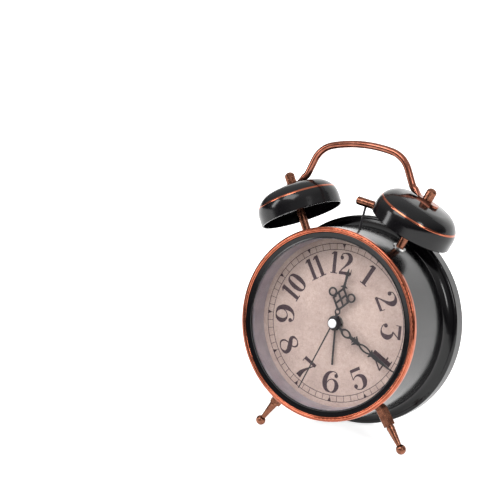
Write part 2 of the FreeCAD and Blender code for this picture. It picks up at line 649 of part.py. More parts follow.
def hammer_swing():
    """Lean at which the tip is one strike gap from the bell, found by halving."""
    low, high = 0.0, 40.0
    for _ in range(50):
        guess = (low + high) / 2
        if tip_clearance(guess) > STRIKE_GAP:
            low = guess
        else:
            high = guess
    return low


def leaned(shape, swing):
    shape.rotate(V(0, HAMMER_Y, HAMMER_PIVOT_Z), BACK, swing)
    return shape


def hammer_head():
    z = HAMMER_PIVOT_Z + HAMMER_REACH
    half = HAMMER_HEAD_L / 2
    head = turned([
        (0, -half), (HAMMER_HEAD_R - 0.3, -half), (HAMMER_HEAD_R, -half + 0.3),
        (HAMMER_HEAD_R, half * 0.22), (HAMMER_HEAD_R - 0.18, half * 0.26),
        (HAMMER_HEAD_R - 0.18, half * 0.32), (HAMMER_HEAD_R, half * 0.36),
        (HAMMER_HEAD_R, half - 0.3), (HAMMER_HEAD_R - 0.3, half), (0, half)],
        V(0, HAMMER_Y, z), RIGHT, BACK)
    socket = rod(HAMMER_SOCKET_R, V(0, HAMMER_Y, z - 4), V(0, HAMMER_Y, z - 0.4))
    ends = [rod(HAMMER_TIP_R, V(side * (half - 1.5), HAMMER_Y, z), V(side * half, HAMMER_Y, z))
            for side in (-1, 1)]
    return leaned(whole(head.cut([socket] + ends)), SWING)


def hammer_tips():
    """Hard pins pressed into both ends of the head; they are what strikes the bells."""
    z = HAMMER_PIVOT_Z + HAMMER_REACH
    near = HAMMER_HEAD_L / 2 - 1.5
    far = HAMMER_HEAD_L / 2 + HAMMER_TIP_L
    pins = [rod(HAMMER_TIP_R, V(side * near, HAMMER_Y, z), V(side * far, HAMMER_Y, z)) for side in (-1, 1)]
    return leaned(Part.makeCompound(pins), SWING)


def hammer_arm():
    z = HAMMER_PIVOT_Z
    wire = rod(HAMMER_WIRE_R, V(0, HAMMER_Y, z + ROCKER_R - 1.2), V(0, HAMMER_Y, z + HAMMER_REACH - 0.4))
    wire = wire.cut(rod(ROCKER_R, V(0, 0, z), V(0, 40, z)))
    return leaned(whole(wire), SWING)


SWING = hammer_swing()


def hammer_rocker():
    """Tube on the pivot pin, with a forked tail that the crank pin drives from side to side."""
    z = HAMMER_PIVOT_Z
    drop = HAMMER_PIVOT_Z - CRANK_Z
    inside = CRANK_THROW + CRANK_PIN_R + drop * math.sin(math.radians(SWING)) + GAP
    outside = inside + 1.3
    end = z - drop - 4.5
    right = [(1.8, z), (1.8, z - 4.5), (outside, z - 7.5), (outside, end), (inside, end), (inside, z - 8.6)]
    left = [(-x, height) for x, height in reversed(right)]
    tail = sheet(right + left, TAIL_Y, TAIL_T)
    body = fuse(shaft(ROCKER_R, 0, z, HAMMER_Y - 2.4, TAIL_Y + TAIL_T), tail)
    return leaned(whole(body.cut(shaft(PIVOT_R + RUN, 0, z, 0, 40))), SWING)


def hammer_pivot():
    """Pin with a head, held in the bracket."""
    z = HAMMER_PIVOT_Z
    pin = shaft(PIVOT_R, 0, z, HAMMER_Y - 3.0, BRACKET_Y + BRACKET_T)
    return whole(fuse(pin, shaft(1.9, 0, z, HAMMER_Y - 3.8, HAMMER_Y - 2.4 - GAP)))


def hammer_bracket():
    """Steel plate behind the movement; it carries the pivot pin and the striking motor."""
    top = HAMMER_PIVOT_Z + 4.5
    plate = block(-14, 14, BRACKET_Y, BRACKET_Y + BRACKET_T, 14, top)
    legs = [block(x, x + 1.2, MOVE_BACK, BRACKET_Y, 15, 28) for x in (-14, 12.8)]
    feet = [block(x, x + 6, MOVE_BACK, MOVE_BACK + 1.2, 15, 28) for x in (-20, 14)]
    plate = fuse(plate, *(legs + feet))
    holes = [shaft(PIVOT_R, 0, HAMMER_PIVOT_Z, 0, 40), shaft(2.2, 0, CRANK_Z, 0, 40)]
    holes += [shaft(SCREW_R + BOLT, side * 17, 21.5, MOVE_BACK - 1, MOVE_BACK + 3) for side in (-1, 1)]
    return whole(plate.cut(holes))


def bracket_screws():
    screws = []
    for side in (-1, 1):
        y = MOVE_BACK + 1.2
        slot = block(side * 17 - 2, side * 17 + 2, y + 0.6, y + 2, 21.25, 21.75)
        head = shaft(1.8, side * 17, 21.5, y, y + 1.0).cut(slot)
        screws.append(fuse(head, shaft(SCREW_R, side * 17, 21.5, MOVE_BACK - MOVE_WALL, y)))
    return Part.makeCompound(screws)


def striking_motor():
    y = BRACKET_Y + BRACKET_T
    can = turned([(0, y), (7.0, y), (7.5, y + 0.5), (7.5, y + 8.0), (7.0, y + 8.5), (0, y + 8.5)],
                 V(0, 0, CRANK_Z))
    return whole(can.cut(shaft(1.0 + RUN, 0, CRANK_Z, y - 1, y + 6.05)))


def motor_crank():
    """Motor shaft with its disc and the eccentric pin that works the fork."""
    y = BRACKET_Y - 0.6
    disc = shaft(4.2, 0, CRANK_Z, y - 1.2, y)
    pin = shaft(CRANK_PIN_R, -CRANK_THROW, CRANK_Z, TAIL_Y, y - 1.0)
    return whole(fuse(disc, pin, shaft(1.0, 0, CRANK_Z, y - 0.5, BRACKET_Y + BRACKET_T + 6)))


# ---- movement -------------------------------------------------------------------------------------


def movement_front():
    """Front plate with the threaded neck that carries the hands, and bosses for the arbors."""
    inner = MOVE_FRONT + MOVE_WALL
    plate = block(-MOVE_HALF, MOVE_HALF, MOVE_FRONT, inner, -MOVE_HALF, MOVE_HALF)
    neck = shaft(NECK_R, 0, 0, -0.7, MOVE_FRONT + 0.2)
    post = shaft(0.8, MOTION_X, MOTION_Z, inner - 0.2, SECOND_Y - GAP)
    bosses = [shaft(1.2, x, z, inner - 0.2, inner + 1.2) for x, z in PIVOTS]
    plate = fuse(plate, neck, post, *bosses)
    holes = [shaft(NECK_BORE, 0, 0, -2, inner + 1)]
    holes += [shaft(0.4 + RUN, x, z, inner, inner + 3) for x, z in PIVOTS]
    return whole(plate.cut(holes))


def movement_rear():
    """Deep rear half of the housing, screwed to the front plate at its corners."""
    inner = MOVE_FRONT + MOVE_WALL
    half = MOVE_HALF - MOVE_WALL
    floor = MOVE_BACK - MOVE_WALL
    box = block(-MOVE_HALF, MOVE_HALF, inner, MOVE_BACK, -MOVE_HALF, MOVE_HALF)
    box = box.cut(block(-half, half, inner - 1, floor, -half, half))
    bosses = [shaft(1.5, x, z, floor - 2.0, floor + 0.2) for x, z in PIVOTS + ((0.0, 0.0),)]
    corners = [shaft(2.2, i * CORNER, j * CORNER, inner, floor + 0.2) for i in (-1, 1) for j in (-1, 1)]
    box = fuse(box, *(bosses + corners))
    holes = [shaft(0.45 + RUN, x, z, inner, floor - 0.3) for x, z in PIVOTS + ((0.0, 0.0),)]
    holes += [shaft(ARBOR_R + RUN, x, z, inner, MOVE_BACK + 1) for x, z in KNOB_PLACES]
    holes += [shaft(0.85, i * CORNER, j * CORNER, 5.0, MOVE_BACK + 1) for i in (-1, 1) for j in (-1, 1)]
    holes += [shaft(SCREW_R, side * 17, 21.5, floor - 1, MOVE_BACK + 1) for side in (-1, 1)]
    return whole(box.cut(holes))


def movement_screws():
    screws = []
    for i in (-1, 1):
        for j in (-1, 1):
            x, z = i * CORNER, j * CORNER
            head = shaft(1.7, x, z, MOVE_BACK, MOVE_BACK + 1.0).cut(
                block(x - 2, x + 2, MOVE_BACK + 0.5, MOVE_BACK + 2, z - 0.25, z + 0.25))
            screws.append(fuse(head, shaft(0.85, x, z, 5.0, MOVE_BACK)))
    return Part.makeCompound(screws)


def neck_nut():
    """Thin round nut that clamps the dial to the movement's neck."""
    return tube(3.95, NECK_R, 0, 0, -0.7, 0)


def stator():
    """Laminated plate of the step motor, with the gap that the rotor turns in."""
    plate = block(ROTOR_X - 5, ROTOR_X + 5, ROTOR_Y, ROTOR_Y + 1.2, TRANSFER_Z - 4.5, 27)
    arm = block(-9, ROTOR_X - 4, ROTOR_Y, ROTOR_Y + 1.2, 22.5, 27)
    return whole(fuse(plate, arm).cut(shaft(2.4 + 0.4, ROTOR_X, TRANSFER_Z, ROTOR_Y - 1, ROTOR_Y + 3)))


def coil():
    """Copper winding on a bobbin that stands on the stator's arm."""
    def along(radius, x0, x1):
        return rod(radius, V(x0, ROTOR_Y - 3.5, 24.5), V(x1, ROTOR_Y - 3.5, 24.5))
    winding = along(2.7, -6, 5)
    flanges = [along(3.2, x, x + 0.8) for x in (-6.8, 5)]
    feet = [block(x, x + 0.8, ROTOR_Y - 3.5, ROTOR_Y, 23.3, 25.7) for x in (-6.8, 5)]
    return whole(fuse(winding, *(flanges + feet)))


def circuit_board():
    """Small board with its quartz crystal can, on the housing's floor."""
    board = block(-26, -10, MOVE_BACK - MOVE_WALL - 1.0, MOVE_BACK - MOVE_WALL, -20, -6)
    can = rod(1.0, V(-24, MOVE_BACK - MOVE_WALL - 1.9, -9), V(-17, MOVE_BACK - MOVE_WALL - 1.9, -9))
    chip = shaft(3.0, -17, -15, MOVE_BACK - MOVE_WALL - 2.0, MOVE_BACK - MOVE_WALL - 0.9)
    return whole(fuse(board, can, chip))


def motion_wheel():
    """Wheel driven by the cannon pinion, with the leaves that drive the hour wheel."""
    to_centre = MOTION_ANGLE + 180
    wheel = gear(MOTION_TEETH, MOTION_MODULE, MOTION_X, MOTION_Z, MOTION_Y, MOTION_Y + WHEEL_T,
                 gap_phase(to_centre, MOTION_TEETH), 0)
    leaves = gear(LEAF_TEETH, HOUR_MODULE, MOTION_X, MOTION_Z, HOUR_Y, MOTION_Y,
                  gap_phase(to_centre, LEAF_TEETH), 0)
    hub = shaft(1.7, MOTION_X, MOTION_Z, HOUR_Y, MOTION_Y + WHEEL_T)
    return whole(fuse(wheel, leaves, hub).cut(shaft(0.8 + RUN, MOTION_X, MOTION_Z, 0, 20)))


def seconds_arbor():
    wheel = gear(SECOND_TEETH, SECOND_MODULE, 0, 0, SECOND_Y, SECOND_Y + 0.8, 90, 0)
    return whole(fuse(wheel, shaft(SECOND_R, 0, 0, -5.3, MOVE_BACK - MOVE_WALL - 0.5)))


def transfer_wheel():
    wheel = gear(TRANSFER_TEETH, ROTOR_MODULE, 0, TRANSFER_Z, TRANSFER_Y, TRANSFER_Y + 0.8, 0, 0)
    leaves = gear(TRANSFER_LEAVES, SECOND_MODULE, 0, TRANSFER_Z, SECOND_Y - 0.4, TRANSFER_Y,
                  gap_phase(-90, TRANSFER_LEAVES), 0)
    arbor = shaft(0.4, 0, TRANSFER_Z, MOVE_FRONT + MOVE_WALL + 0.3, MOVE_BACK - MOVE_WALL - 0.5)
    return whole(fuse(wheel, leaves, arbor))


def rotor():
    """Ring magnet with its pinion and arbor."""
    leaves = gear(ROTOR_LEAVES, ROTOR_MODULE, ROTOR_X, TRANSFER_Z, TRANSFER_Y - 0.3, ROTOR_Y,
                  gap_phase(180, ROTOR_LEAVES), 0)
    magnet = shaft(2.4, ROTOR_X, TRANSFER_Z, ROTOR_Y, ROTOR_Y + 1.2)
    arbor = shaft(0.4, ROTOR_X, TRANSFER_Z, MOVE_FRONT + MOVE_WALL + 0.3, MOVE_BACK - MOVE_WALL - 0.5)
    return whole(fuse(leaves, magnet, arbor))


def hour_wheel():
    wheel = gear(HOUR_TEETH, HOUR_MODULE, 0, 0, HOUR_Y, HOUR_Y + WHEEL_T, MOTION_ANGLE, 0)
    pipe = shaft(HOUR_R, 0, 0, -3.2, HOUR_Y + WHEEL_T)
    return whole(fuse(wheel, pipe).cut(shaft(CANNON_R + RUN, 0, 0, -10, 20)))


def alarm_wheel():
    wheel = gear(ALARM_TEETH, ALARM_MODULE, 0, 0, ALARM_Y, ALARM_Y + WHEEL_T, 0, 0)
    pipe = shaft(ALARM_R, 0, 0, -2.0, ALARM_Y + WHEEL_T)
    return whole(fuse(wheel, pipe).cut(shaft(HOUR_R + RUN, 0, 0, -10, 20)))


def cannon_pinion():
    pinion = gear(CANNON_TEETH, MOTION_MODULE, 0, 0, MOTION_Y, MOTION_Y + WHEEL_T, MOTION_ANGLE, 0)
    pipe = shaft(CANNON_R, 0, 0, -4.4, MOTION_Y + WHEEL_T)
    return whole(fuse(pinion, pipe).cut(shaft(SECOND_R + RUN, 0, 0, -10, 20)))


# ---- hands: cut from thin sheet, drawn pointing at 12 ----------------------------------------------
def strip(p, q, width, y):
    """Bar of the given width from p to q, as (x, z) points."""
    dx, dz = q[0] - p[0], q[1] - p[1]
    reach = math.hypot(dx, dz)
    sx, sz = -dz / reach * width / 2, dx / reach * width / 2
    corners = [(p[0] + sx, p[1] + sz), (q[0] + sx, q[1] + sz), (q[0] - sx, q[1] - sz), (p[0] - sx, p[1] - sz)]
    return sheet(corners, y, HAND_T)


def loop(x, z, outer, line, y):
    return tube(outer, outer - line, x, z, y, y + HAND_T)


def eye(z0, z1, half, line, y):
    """Open pointed loop along the hand, from z0 to z1."""
    middle = (z0 + z1) / 2
    skin = sheet([(0, z0), ("arc", (half, middle), (0, z1)), ("arc", (-half, middle), (0, z0 + 1e-4))],
                 y, HAND_T)
    hole = sheet([(0, z0 + 2 * line), ("arc", (half - line, middle), (0, z1 - 2 * line)),
                  ("arc", (line - half, middle), (0, z0 + 2 * line + 1e-4))], y - 1, HAND_T + 2)
    return skin.cut(hole)


def blade(z0, z1, wide, narrow, y):
    return sheet([(-wide / 2, z0), (wide / 2, z0), (narrow / 2, z1), (-narrow / 2, z1)], y, HAND_T)


def barbs(z, reach, drop, line, y):
    """Pair of small hooks that stand out and back from the hand's stem."""
    return [sheet([(0, z + line), (side * reach, z - drop),
                   (side * (reach - line * 0.7), z - drop - line * 0.3), (0, z - line)], y, HAND_T)
            for side in (-1, 1)]


def placed_hand(pieces, hub_r, hub_back, plate_y, hub_front, bore, angle):
    hub = tube(hub_r, bore, 0, 0, plate_y, plate_y + HAND_T)
    collet = tube(bore + 0.8, bore, 0, 0, hub_front, hub_back)
    hand = fuse(pieces[0], *pieces[1:]).cut(shaft(bore, 0, 0, plate_y - 1, plate_y + 2))
    hand = whole(fuse(hand, hub, collet))
    hand.rotate(V(0, 0, 0), BACK, angle)
    return hand


def hour_hand():
    y = -2.9
    tip = HOUR_HAND_L
    rows = ((10.6, 0.0), (13.7, -2.4), (13.7, 2.4), (16.8, 0.0))
    pieces = [strip((0, 3), (0, 5), 1.8, y), eye(4.2, 9.0, 1.7, 0.7, y), strip((0, 7.9), (0, 8.9), 1.7, y)]
    for z, x in rows:
        corners = ((x, z - 3.1), (x + 2.4, z), (x, z + 3.1), (x - 2.4, z))
        for i in range(4):
            pieces.append(strip(corners[i], corners[(i + 1) % 4], HOUR_LINE, y))
    for side in (-1, 1):
        pieces.append(loop(side * 5.8, 16.2, 2.6, 1.0, y))
        pieces.append(strip((side * 3.2, 13.9), (side * 4.4, 14.9), 1.6, y))
    pieces += barbs(21.2, 2.3, 0.7, 0.8, y)
    pieces += [blade(18.6, 24.0, 1.9, 1.2, y), blade(23.8, 27.5, 1.2, 1.7, y), blade(27.3, tip, 1.7, 0.3, y)]
    pieces += barbs(27.6, 1.7, 0.3, 0.5, y)
    return placed_hand(pieces, 4.1, -2.2, y, -3.2, HOUR_R, HOUR_ANGLE)


def minute_hand():
    y = -4.1
    tip = MINUTE_HAND_L
    pieces = [strip((0, 2.5), (0, 6.0), 1.6, y), eye(5.2, 13.4, 2.3, MINUTE_LINE, y)]
    pieces += [blade(12.2, 15.4, 1.6, 2.5, y), blade(15.3, 18.8, 2.5, 2.1, y)]
    pieces += barbs(17.6, 3.1, 2.2, 1.1, y) + barbs(15.6, 2.1, 1.0, 0.8, y)
    pieces += [eye(17.8, 28.4, 1.8, MINUTE_LINE, y)]
    pieces += barbs(28.4, 2.5, 1.6, 1.1, y)
    pieces += [blade(26.8, 30.0, 1.5, 2.6, y), blade(29.8, 36.5, 2.6, 1.5, y), blade(36.3, tip, 1.5, 0.4, y)]
    return placed_hand(pieces, 3.5, -3.4, y, -4.4, CANNON_R, MINUTE_ANGLE)


def second_hand():
    y = -5.1
    pieces = [blade(2.0, SECOND_HAND_L, 0.85, 0.55, y), strip((0, -2), (0, -3.6), 1.0, y)]
    return placed_hand(pieces, 3.1, -4.6, y, -5.3, SECOND_R, SECOND_ANGLE)


def alarm_hand():
    y = -1.7
    pieces = [blade(2.0, ALARM_HAND_L, 0.9, 1.1, y)]
    return placed_hand(pieces, 3.3, -1.0, y, -2.0, ALARM_R, ALARM_ANGLE)


def hand_cap():
    """Domed button on the end of the seconds arbor."""
    front = -6.7
    return whole(turned([(0, -5.3), (2.45, -5.3), (2.45, -5.8), dome(2.45, -5.8, front)]))


# ---- knobs, switch, battery bay ---------------------------------------------------------------------


def set_arbor(x, z, pinion):
    return whole(fuse(pinion, shaft(ARBOR_R, x, z, MOTION_Y, KNOB_BACK - 2.0)))


def time_set_arbor():
    phase = gap_phase(TIME_SET_ANGLE + 180, CANNON_TEETH)
    along = TIME_SET_ANGLE - gap_phase(MOTION_ANGLE + 180, MOTION_TEETH)
    steps = along / (360.0 / MOTION_TEETH)
    phase += (steps - round(steps)) * 360.0 / CANNON_TEETH
    pinion = gear(CANNON_TEETH, MOTION_MODULE, TIME_SET_X, TIME_SET_Z, MOTION_Y, MOTION_Y + WHEEL_T,
                  phase, 0)
    return set_arbor(TIME_SET_X, TIME_SET_Z, pinion)


def alarm_set_arbor():
    pinion = gear(ALARM_SET_TEETH, ALARM_MODULE, ALARM_SET_X, 0, ALARM_Y, ALARM_Y + WHEEL_T,
                  gap_phase(180, ALARM_SET_TEETH), 0)
    return whole(fuse(pinion, shaft(ARBOR_R, ALARM_SET_X, 0, ALARM_Y, KNOB_BACK - 2.0)))


def knob(x, z):
    """Fluted plastic knob pressed on its arbor."""
    body = turned([(0, KNOB_FRONT), (KNOB_R - 0.8, KNOB_FRONT), (KNOB_R, KNOB_FRONT + 0.8),
                   (KNOB_R, KNOB_BACK - 0.9),
                   ("arc", (KNOB_R - 0.25, KNOB_BACK - 0.25), (KNOB_R - 0.9, KNOB_BACK)), (3.4, KNOB_BACK),
                   (3.0, KNOB_BACK - 0.6), (0, KNOB_BACK - 0.6)])
    flutes = []
    for i in range(24):
        turn = 2 * math.pi * i / 24
        reach = KNOB_R + 0.1
        flutes.append(shaft(0.42, reach * math.cos(turn), reach * math.sin(turn),
                            KNOB_FRONT - 1, KNOB_BACK + 1))
    body = body.cut(flutes)
    body.translate(V(x, 0, z))
    return whole(body.cut(shaft(ARBOR_R, x, z, KNOB_FRONT - 1, KNOB_BACK - 2.0)))


def alarm_switch():
    """Slider at its off end; it slides towards +X to arm the alarm."""
    x = SWITCH_X - SWITCH_TRAVEL / 2
    front = COVER_BACK - COVER_T
    base = block(x - 3.2, x + 3.2, front - 1.6, front - 0.2, SWITCH_Z - 2.6, SWITCH_Z + 2.6)
    key = block(x - 2.0, x + 2.0, front - 0.4, COVER_BACK + 1.8, SWITCH_Z - 1.5, SWITCH_Z + 1.5)
    grooves = [block(x + d - 0.2, x + d + 0.2, COVER_BACK + 1.4, COVER_BACK + 3, SWITCH_Z - 3, SWITCH_Z + 3)
               for d in (-1, 0, 1)]
    return whole(fuse(base, key).cut(grooves))


def alarm_switch_body():
    """Open box on the inside of the cover that the slider runs in."""
    front = COVER_BACK - COVER_T
    reach = SWITCH_TRAVEL / 2 + 3.2 + GAP
    box = block(SWITCH_X - reach - 1, SWITCH_X + reach + 1, front - 4.5, front, SWITCH_Z - 4, SWITCH_Z + 4)
    slot = block(SWITCH_X - reach, SWITCH_X + reach, front - 1.9, front + 1, SWITCH_Z - 2.9, SWITCH_Z + 2.9)
    return whole(box.cut(slot))


def battery_box_blank():
    """Inside space of the battery bay."""
    reach = BATTERY_L / 2 + 3.0
    return block(-reach, reach, BOX_FRONT + BOX_WALL, COVER_BACK - COVER_T, DOOR_LOW, DOOR_HIGH)


def battery_box():
    reach = BATTERY_L / 2 + 3.0 + BOX_WALL
    box = block(-reach, reach, BOX_FRONT, COVER_BACK - COVER_T, DOOR_LOW - BOX_WALL, DOOR_HIGH + BOX_WALL)
    return whole(box.cut(battery_box_blank()))


def battery_y():
    return BOX_FRONT + BOX_WALL + BATTERY_PLAY / 2 + BATTERY_R


def battery():
    y = battery_y()
    half = BATTERY_L / 2
    return whole(turned([(0, -half), (BATTERY_R - 0.6, -half), (BATTERY_R, -half + 0.6),
                         (BATTERY_R, half - 0.6), (BATTERY_R - 0.6, half), (2.7, half),
                         (2.7, half + 1.2), (0, half + 1.2)],
                        V(0, y, BATTERY_Z), RIGHT, BACK))


def battery_contacts():
    """Flat plate at the plus end; plate with a conical spring at the minus end."""
    y = battery_y()
    half = BATTERY_L / 2
    wall = half + 3.0
    plus = block(wall - 0.4, wall, y - 5, y + 5, BATTERY_Z - 5, BATTERY_Z + 5)
    nib = rod(2.0, V(half + 1.2, y, BATTERY_Z), V(wall, y, BATTERY_Z))
    minus = block(-wall, -wall + 0.4, y - 5, y + 5, BATTERY_Z - 5, BATTERY_Z + 5)
    coils = [Part.makeTorus(4.2 - 0.5 * i, 0.4, V(-wall + 0.6 + 0.5 * i, y, BATTERY_Z), RIGHT)
             for i in range(5)]
    return fuse(plus, nib), whole(fuse(minus, *coils))


def battery_door():
    """Door hinged on two pins at its lower edge."""
    front = COVER_BACK - DOOR_T
    plate = block(-DOOR_HALF, DOOR_HALF, front, COVER_BACK, DOOR_AXIS_Z, DOOR_HIGH)
    roll = rod(DOOR_T / 2, V(-DOOR_HALF, DOOR_AXIS_Y, DOOR_AXIS_Z), V(DOOR_HALF, DOOR_AXIS_Y, DOOR_AXIS_Z))
    pins = rod(DOOR_PIN_R, V(-DOOR_HALF - 1.6, DOOR_AXIS_Y, DOOR_AXIS_Z),
               V(DOOR_HALF + 1.6, DOOR_AXIS_Y, DOOR_AXIS_Z))
    notch = rod(6.0, V(0, COVER_BACK + 5.0, DOOR_HIGH - 2.5), V(0, COVER_BACK + 5.0, DOOR_HIGH + 5))
    ridges = [block(-8, 8, COVER_BACK - 0.4, COVER_BACK + 1,
                    DOOR_HIGH - 6 - 1.6 * i, DOOR_HIGH - 5.3 - 1.6 * i) for i in range(3)]
    return whole(fuse(plate, roll, pins).cut([notch] + ridges))


# ---- assembly -----------------------------------------------------------------------------------------
def lean_angle():
    """Tilt at which the ball feet and the rear rim's rounded edge rest on one plane."""
    run = (RIM_BACK - RIM_ROUND) - FOOT_Y
    drop = (RIM_R - RIM_ROUND) - FOOT_REACH * math.cos(math.radians(FOOT_ANGLE))
    rise = FOOT_BALL_R - RIM_ROUND
    return math.degrees(math.asin(rise / math.hypot(run, drop)) - math.atan2(drop, run))


def build():
    parts["case_shell"] = case_shell()
    parts["bezel_ring"] = bezel_ring()
    parts["inner_bezel"] = inner_bezel()
    parts["lens"] = lens()
    parts["lens_gasket"] = lens_gasket()
    parts["dial_wall"] = dial_wall()
    parts["dial"] = dial()
    parts["neck_nut"] = neck_nut()
    parts["rear_cover"] = rear_cover()
    parts["rear_cover_screws"] = rear_cover_screws()
    for side, name in ((-1, "left"), (1, "right")):
        parts["bell_" + name] = bell(side)
        parts["bell_post_" + name] = bell_post(side)
        parts["cap_nut_" + name] = cap_nut(side)
        parts["foot_" + name] = foot(side)
    parts["post_washers"] = Part.makeCompound([post_washer(side) for side in (-1, 1)])
    parts["post_nuts"] = Part.makeCompound([post_nut(side) for side in (-1, 1)])
    parts["foot_nuts"] = Part.makeCompound([foot_nut(side) for side in (-1, 1)])
    parts["handle"] = handle()
    parts["hammer_head"] = hammer_head()
    parts["hammer_tips"] = hammer_tips()
    parts["hammer_arm"] = hammer_arm()
    parts["hammer_rocker"] = hammer_rocker()
    parts["hammer_pivot"] = hammer_pivot()
    parts["hammer_bracket"] = hammer_bracket()
    parts["bracket_screws"] = bracket_screws()
    parts["striking_motor"] = striking_motor()
    parts["motor_crank"] = motor_crank()
    parts["movement_front"] = movement_front()
    parts["movement_rear"] = movement_rear()
    parts["movement_screws"] = movement_screws()
    parts["stator"] = stator()
    parts["coil"] = coil()
    parts["circuit_board"] = circuit_board()
    parts["rotor"] = rotor()
    parts["transfer_wheel"] = transfer_wheel()
    parts["seconds_arbor"] = seconds_arbor()
    parts["motion_wheel"] = motion_wheel()
    parts["cannon_pinion"] = cannon_pinion()
    parts["hour_wheel"] = hour_wheel()
    parts["alarm_wheel"] = alarm_wheel()
    parts["hour_hand"] = hour_hand()
    parts["minute_hand"] = minute_hand()
    parts["second_hand"] = second_hand()
    parts["alarm_hand"] = alarm_hand()
    parts["hand_cap"] = hand_cap()
    parts["time_set_arbor"] = time_set_arbor()
    parts["time_set_knob"] = knob(TIME_SET_X, TIME_SET_Z)
    parts["alarm_set_arbor"] = alarm_set_arbor()
    parts["alarm_set_knob"] = knob(ALARM_SET_X, 0)
    parts["alarm_switch"] = alarm_switch()
    parts["alarm_switch_body"] = alarm_switch_body()
    parts["battery_box"] = battery_box()
    parts["battery"] = battery()
    parts["battery_contact_plus"], parts["battery_contact_minus"] = battery_contacts()
    parts["battery_door"] = battery_door()


def stand_up():
    """Lean every piece back and put the origin under the middle of the clock's box."""
    tilt = FreeCAD.Placement(V(0, 0, 0), FreeCAD.Rotation(RIGHT, -LEAN))
    for shape in parts.values():
        shape.Placement = tilt.multiply(shape.Placement)
    box = Part.makeCompound(list(parts.values())).optimalBoundingBox(False, False)
    shift = V(-(box.XMin + box.XMax) / 2, -(box.YMin + box.YMax) / 2, -box.ZMin)
    for shape in parts.values():
        shape.translate(shift)
    return shift


LEAN = lean_angle()
build()
SHIFT = stand_up()
os.makedirs("parts", exist_ok=True)
for name, shape in parts.items():
    shape.exportStep("parts/" + name + ".step")
print("lean %.3f degrees, hammer swing %.3f degrees each way" % (LEAN, SWING))
print("origin of the clock frame at", [round(c, 3) for c in SHIFT])
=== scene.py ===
"""Twin-bell alarm clock: gloss black case, copper trim, printed paper dial, quartz movement."""
import math

import bpy
from mathutils import Matrix, Vector


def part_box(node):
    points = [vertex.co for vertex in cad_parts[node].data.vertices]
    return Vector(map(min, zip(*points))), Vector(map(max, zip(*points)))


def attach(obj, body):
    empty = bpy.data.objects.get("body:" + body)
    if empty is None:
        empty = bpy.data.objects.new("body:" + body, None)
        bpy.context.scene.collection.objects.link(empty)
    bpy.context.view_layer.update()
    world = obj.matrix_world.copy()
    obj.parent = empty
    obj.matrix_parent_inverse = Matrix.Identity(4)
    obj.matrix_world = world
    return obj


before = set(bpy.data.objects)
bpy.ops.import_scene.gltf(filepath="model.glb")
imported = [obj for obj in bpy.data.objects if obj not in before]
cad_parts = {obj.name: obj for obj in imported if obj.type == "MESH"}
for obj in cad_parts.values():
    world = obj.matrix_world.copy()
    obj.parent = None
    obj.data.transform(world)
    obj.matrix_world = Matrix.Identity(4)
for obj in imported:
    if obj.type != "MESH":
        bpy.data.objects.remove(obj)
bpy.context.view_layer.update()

MM = 0.001

# ---- sizes repeated from the part, in millimetres ----------------------------------------------
CLOCK_LEAN = 11.988          # degrees the clock leans back on its feet
DIAL_THICK = 0.6
BELL_RIM_R = 23.4
BELL_WALL_H = 5.2
BELL_SHOULDER_R = 11.2
BELL_MOUTH = 24.6
BELL_STAND_R = 64.4          # from the clock's axis to the middle of a bell's rim
BELL_Y = 9.0
BELL_TILT = 26.3             # degrees

# ---- printed dial, in millimetres --------------------------------------------------------------
TRACK_OUTER_R = 43.3
TRACK_INNER_R = 40.0
TRACK_LINE = 0.34            # width of the two circles
MINUTE_LINE = 0.3            # width of each line between them
WEDGE_HALF = 1.05            # half the width of an hour's wedge at the outer circle
WEDGE_DEPTH = 2.5
NUMERAL_R = 32.6             # from the dial's centre to the middle of a numeral
INK_WEIGHT = 0.92            # fattens or thins every stroke of the numerals
INK_LIFT = 0.02              # the ink stands proud of the paper by this
CURVE_STEPS = 8              # patches between two points of a stroke
RING_STEPS = 180             # patches round each circle of the minute track
BALL_SIDES = 24

# ---- copper stripe round each bell, in millimetres ---------------------------------------------
STRIPE_LOW = 9.3             # height above the bell's rim
STRIPE_HIGH = 10.5
STRIPE_THICK = 0.06
STRIPE_STEPS = 5
STRIPE_SIDES = 128


def linear(code):
    """An sRGB hex colour as the linear RGBA that shaders take."""
    channels = [int(code[i:i + 2], 16) / 255 for i in (1, 3, 5)]
    return [c / 12.92 if c <= 0.04045 else ((c + 0.055) / 1.055) ** 2.4 for c in channels] + [1.0]


def per_mm(size):
    """Scale of a pattern whose features are that many millimetres apart."""
    return 1 / (size * MM)


def add_node(tree, kind, inputs=None, **settings):
    """Adds a node; inputs maps a socket to a plain value or to the socket that feeds it."""
    node = tree.nodes.new(kind)
    for name, value in settings.items():
        setattr(node, name, value)
    for socket, value in (inputs or {}).items():
        if isinstance(value, bpy.types.NodeSocket):
            tree.links.new(value, node.inputs[socket])
        else:
            node.inputs[socket].default_value = value
    return node


def new_material(name, inputs):
    """A material whose own shader holds the given constant values; returns it, its tree and shader."""
    material = bpy.data.materials.new(name)
    material.use_nodes = True
    shader = material.node_tree.nodes["Principled BSDF"]
    for socket, value in inputs.items():
        shader.inputs[socket].default_value = value
    return material, material.node_tree, shader


def mottle(tree, size, detail=3.0, rough=0.55):
    """Cloudy noise with features of that size in millimetres, as a 0 to 1 factor."""
    place = add_node(tree, "ShaderNodeTexCoord")
    return add_node(tree, "ShaderNodeTexNoise", {
        "Vector": place.outputs["Object"], "Scale": per_mm(size), "Detail": detail,
        "Roughness": rough}).outputs["Fac"]


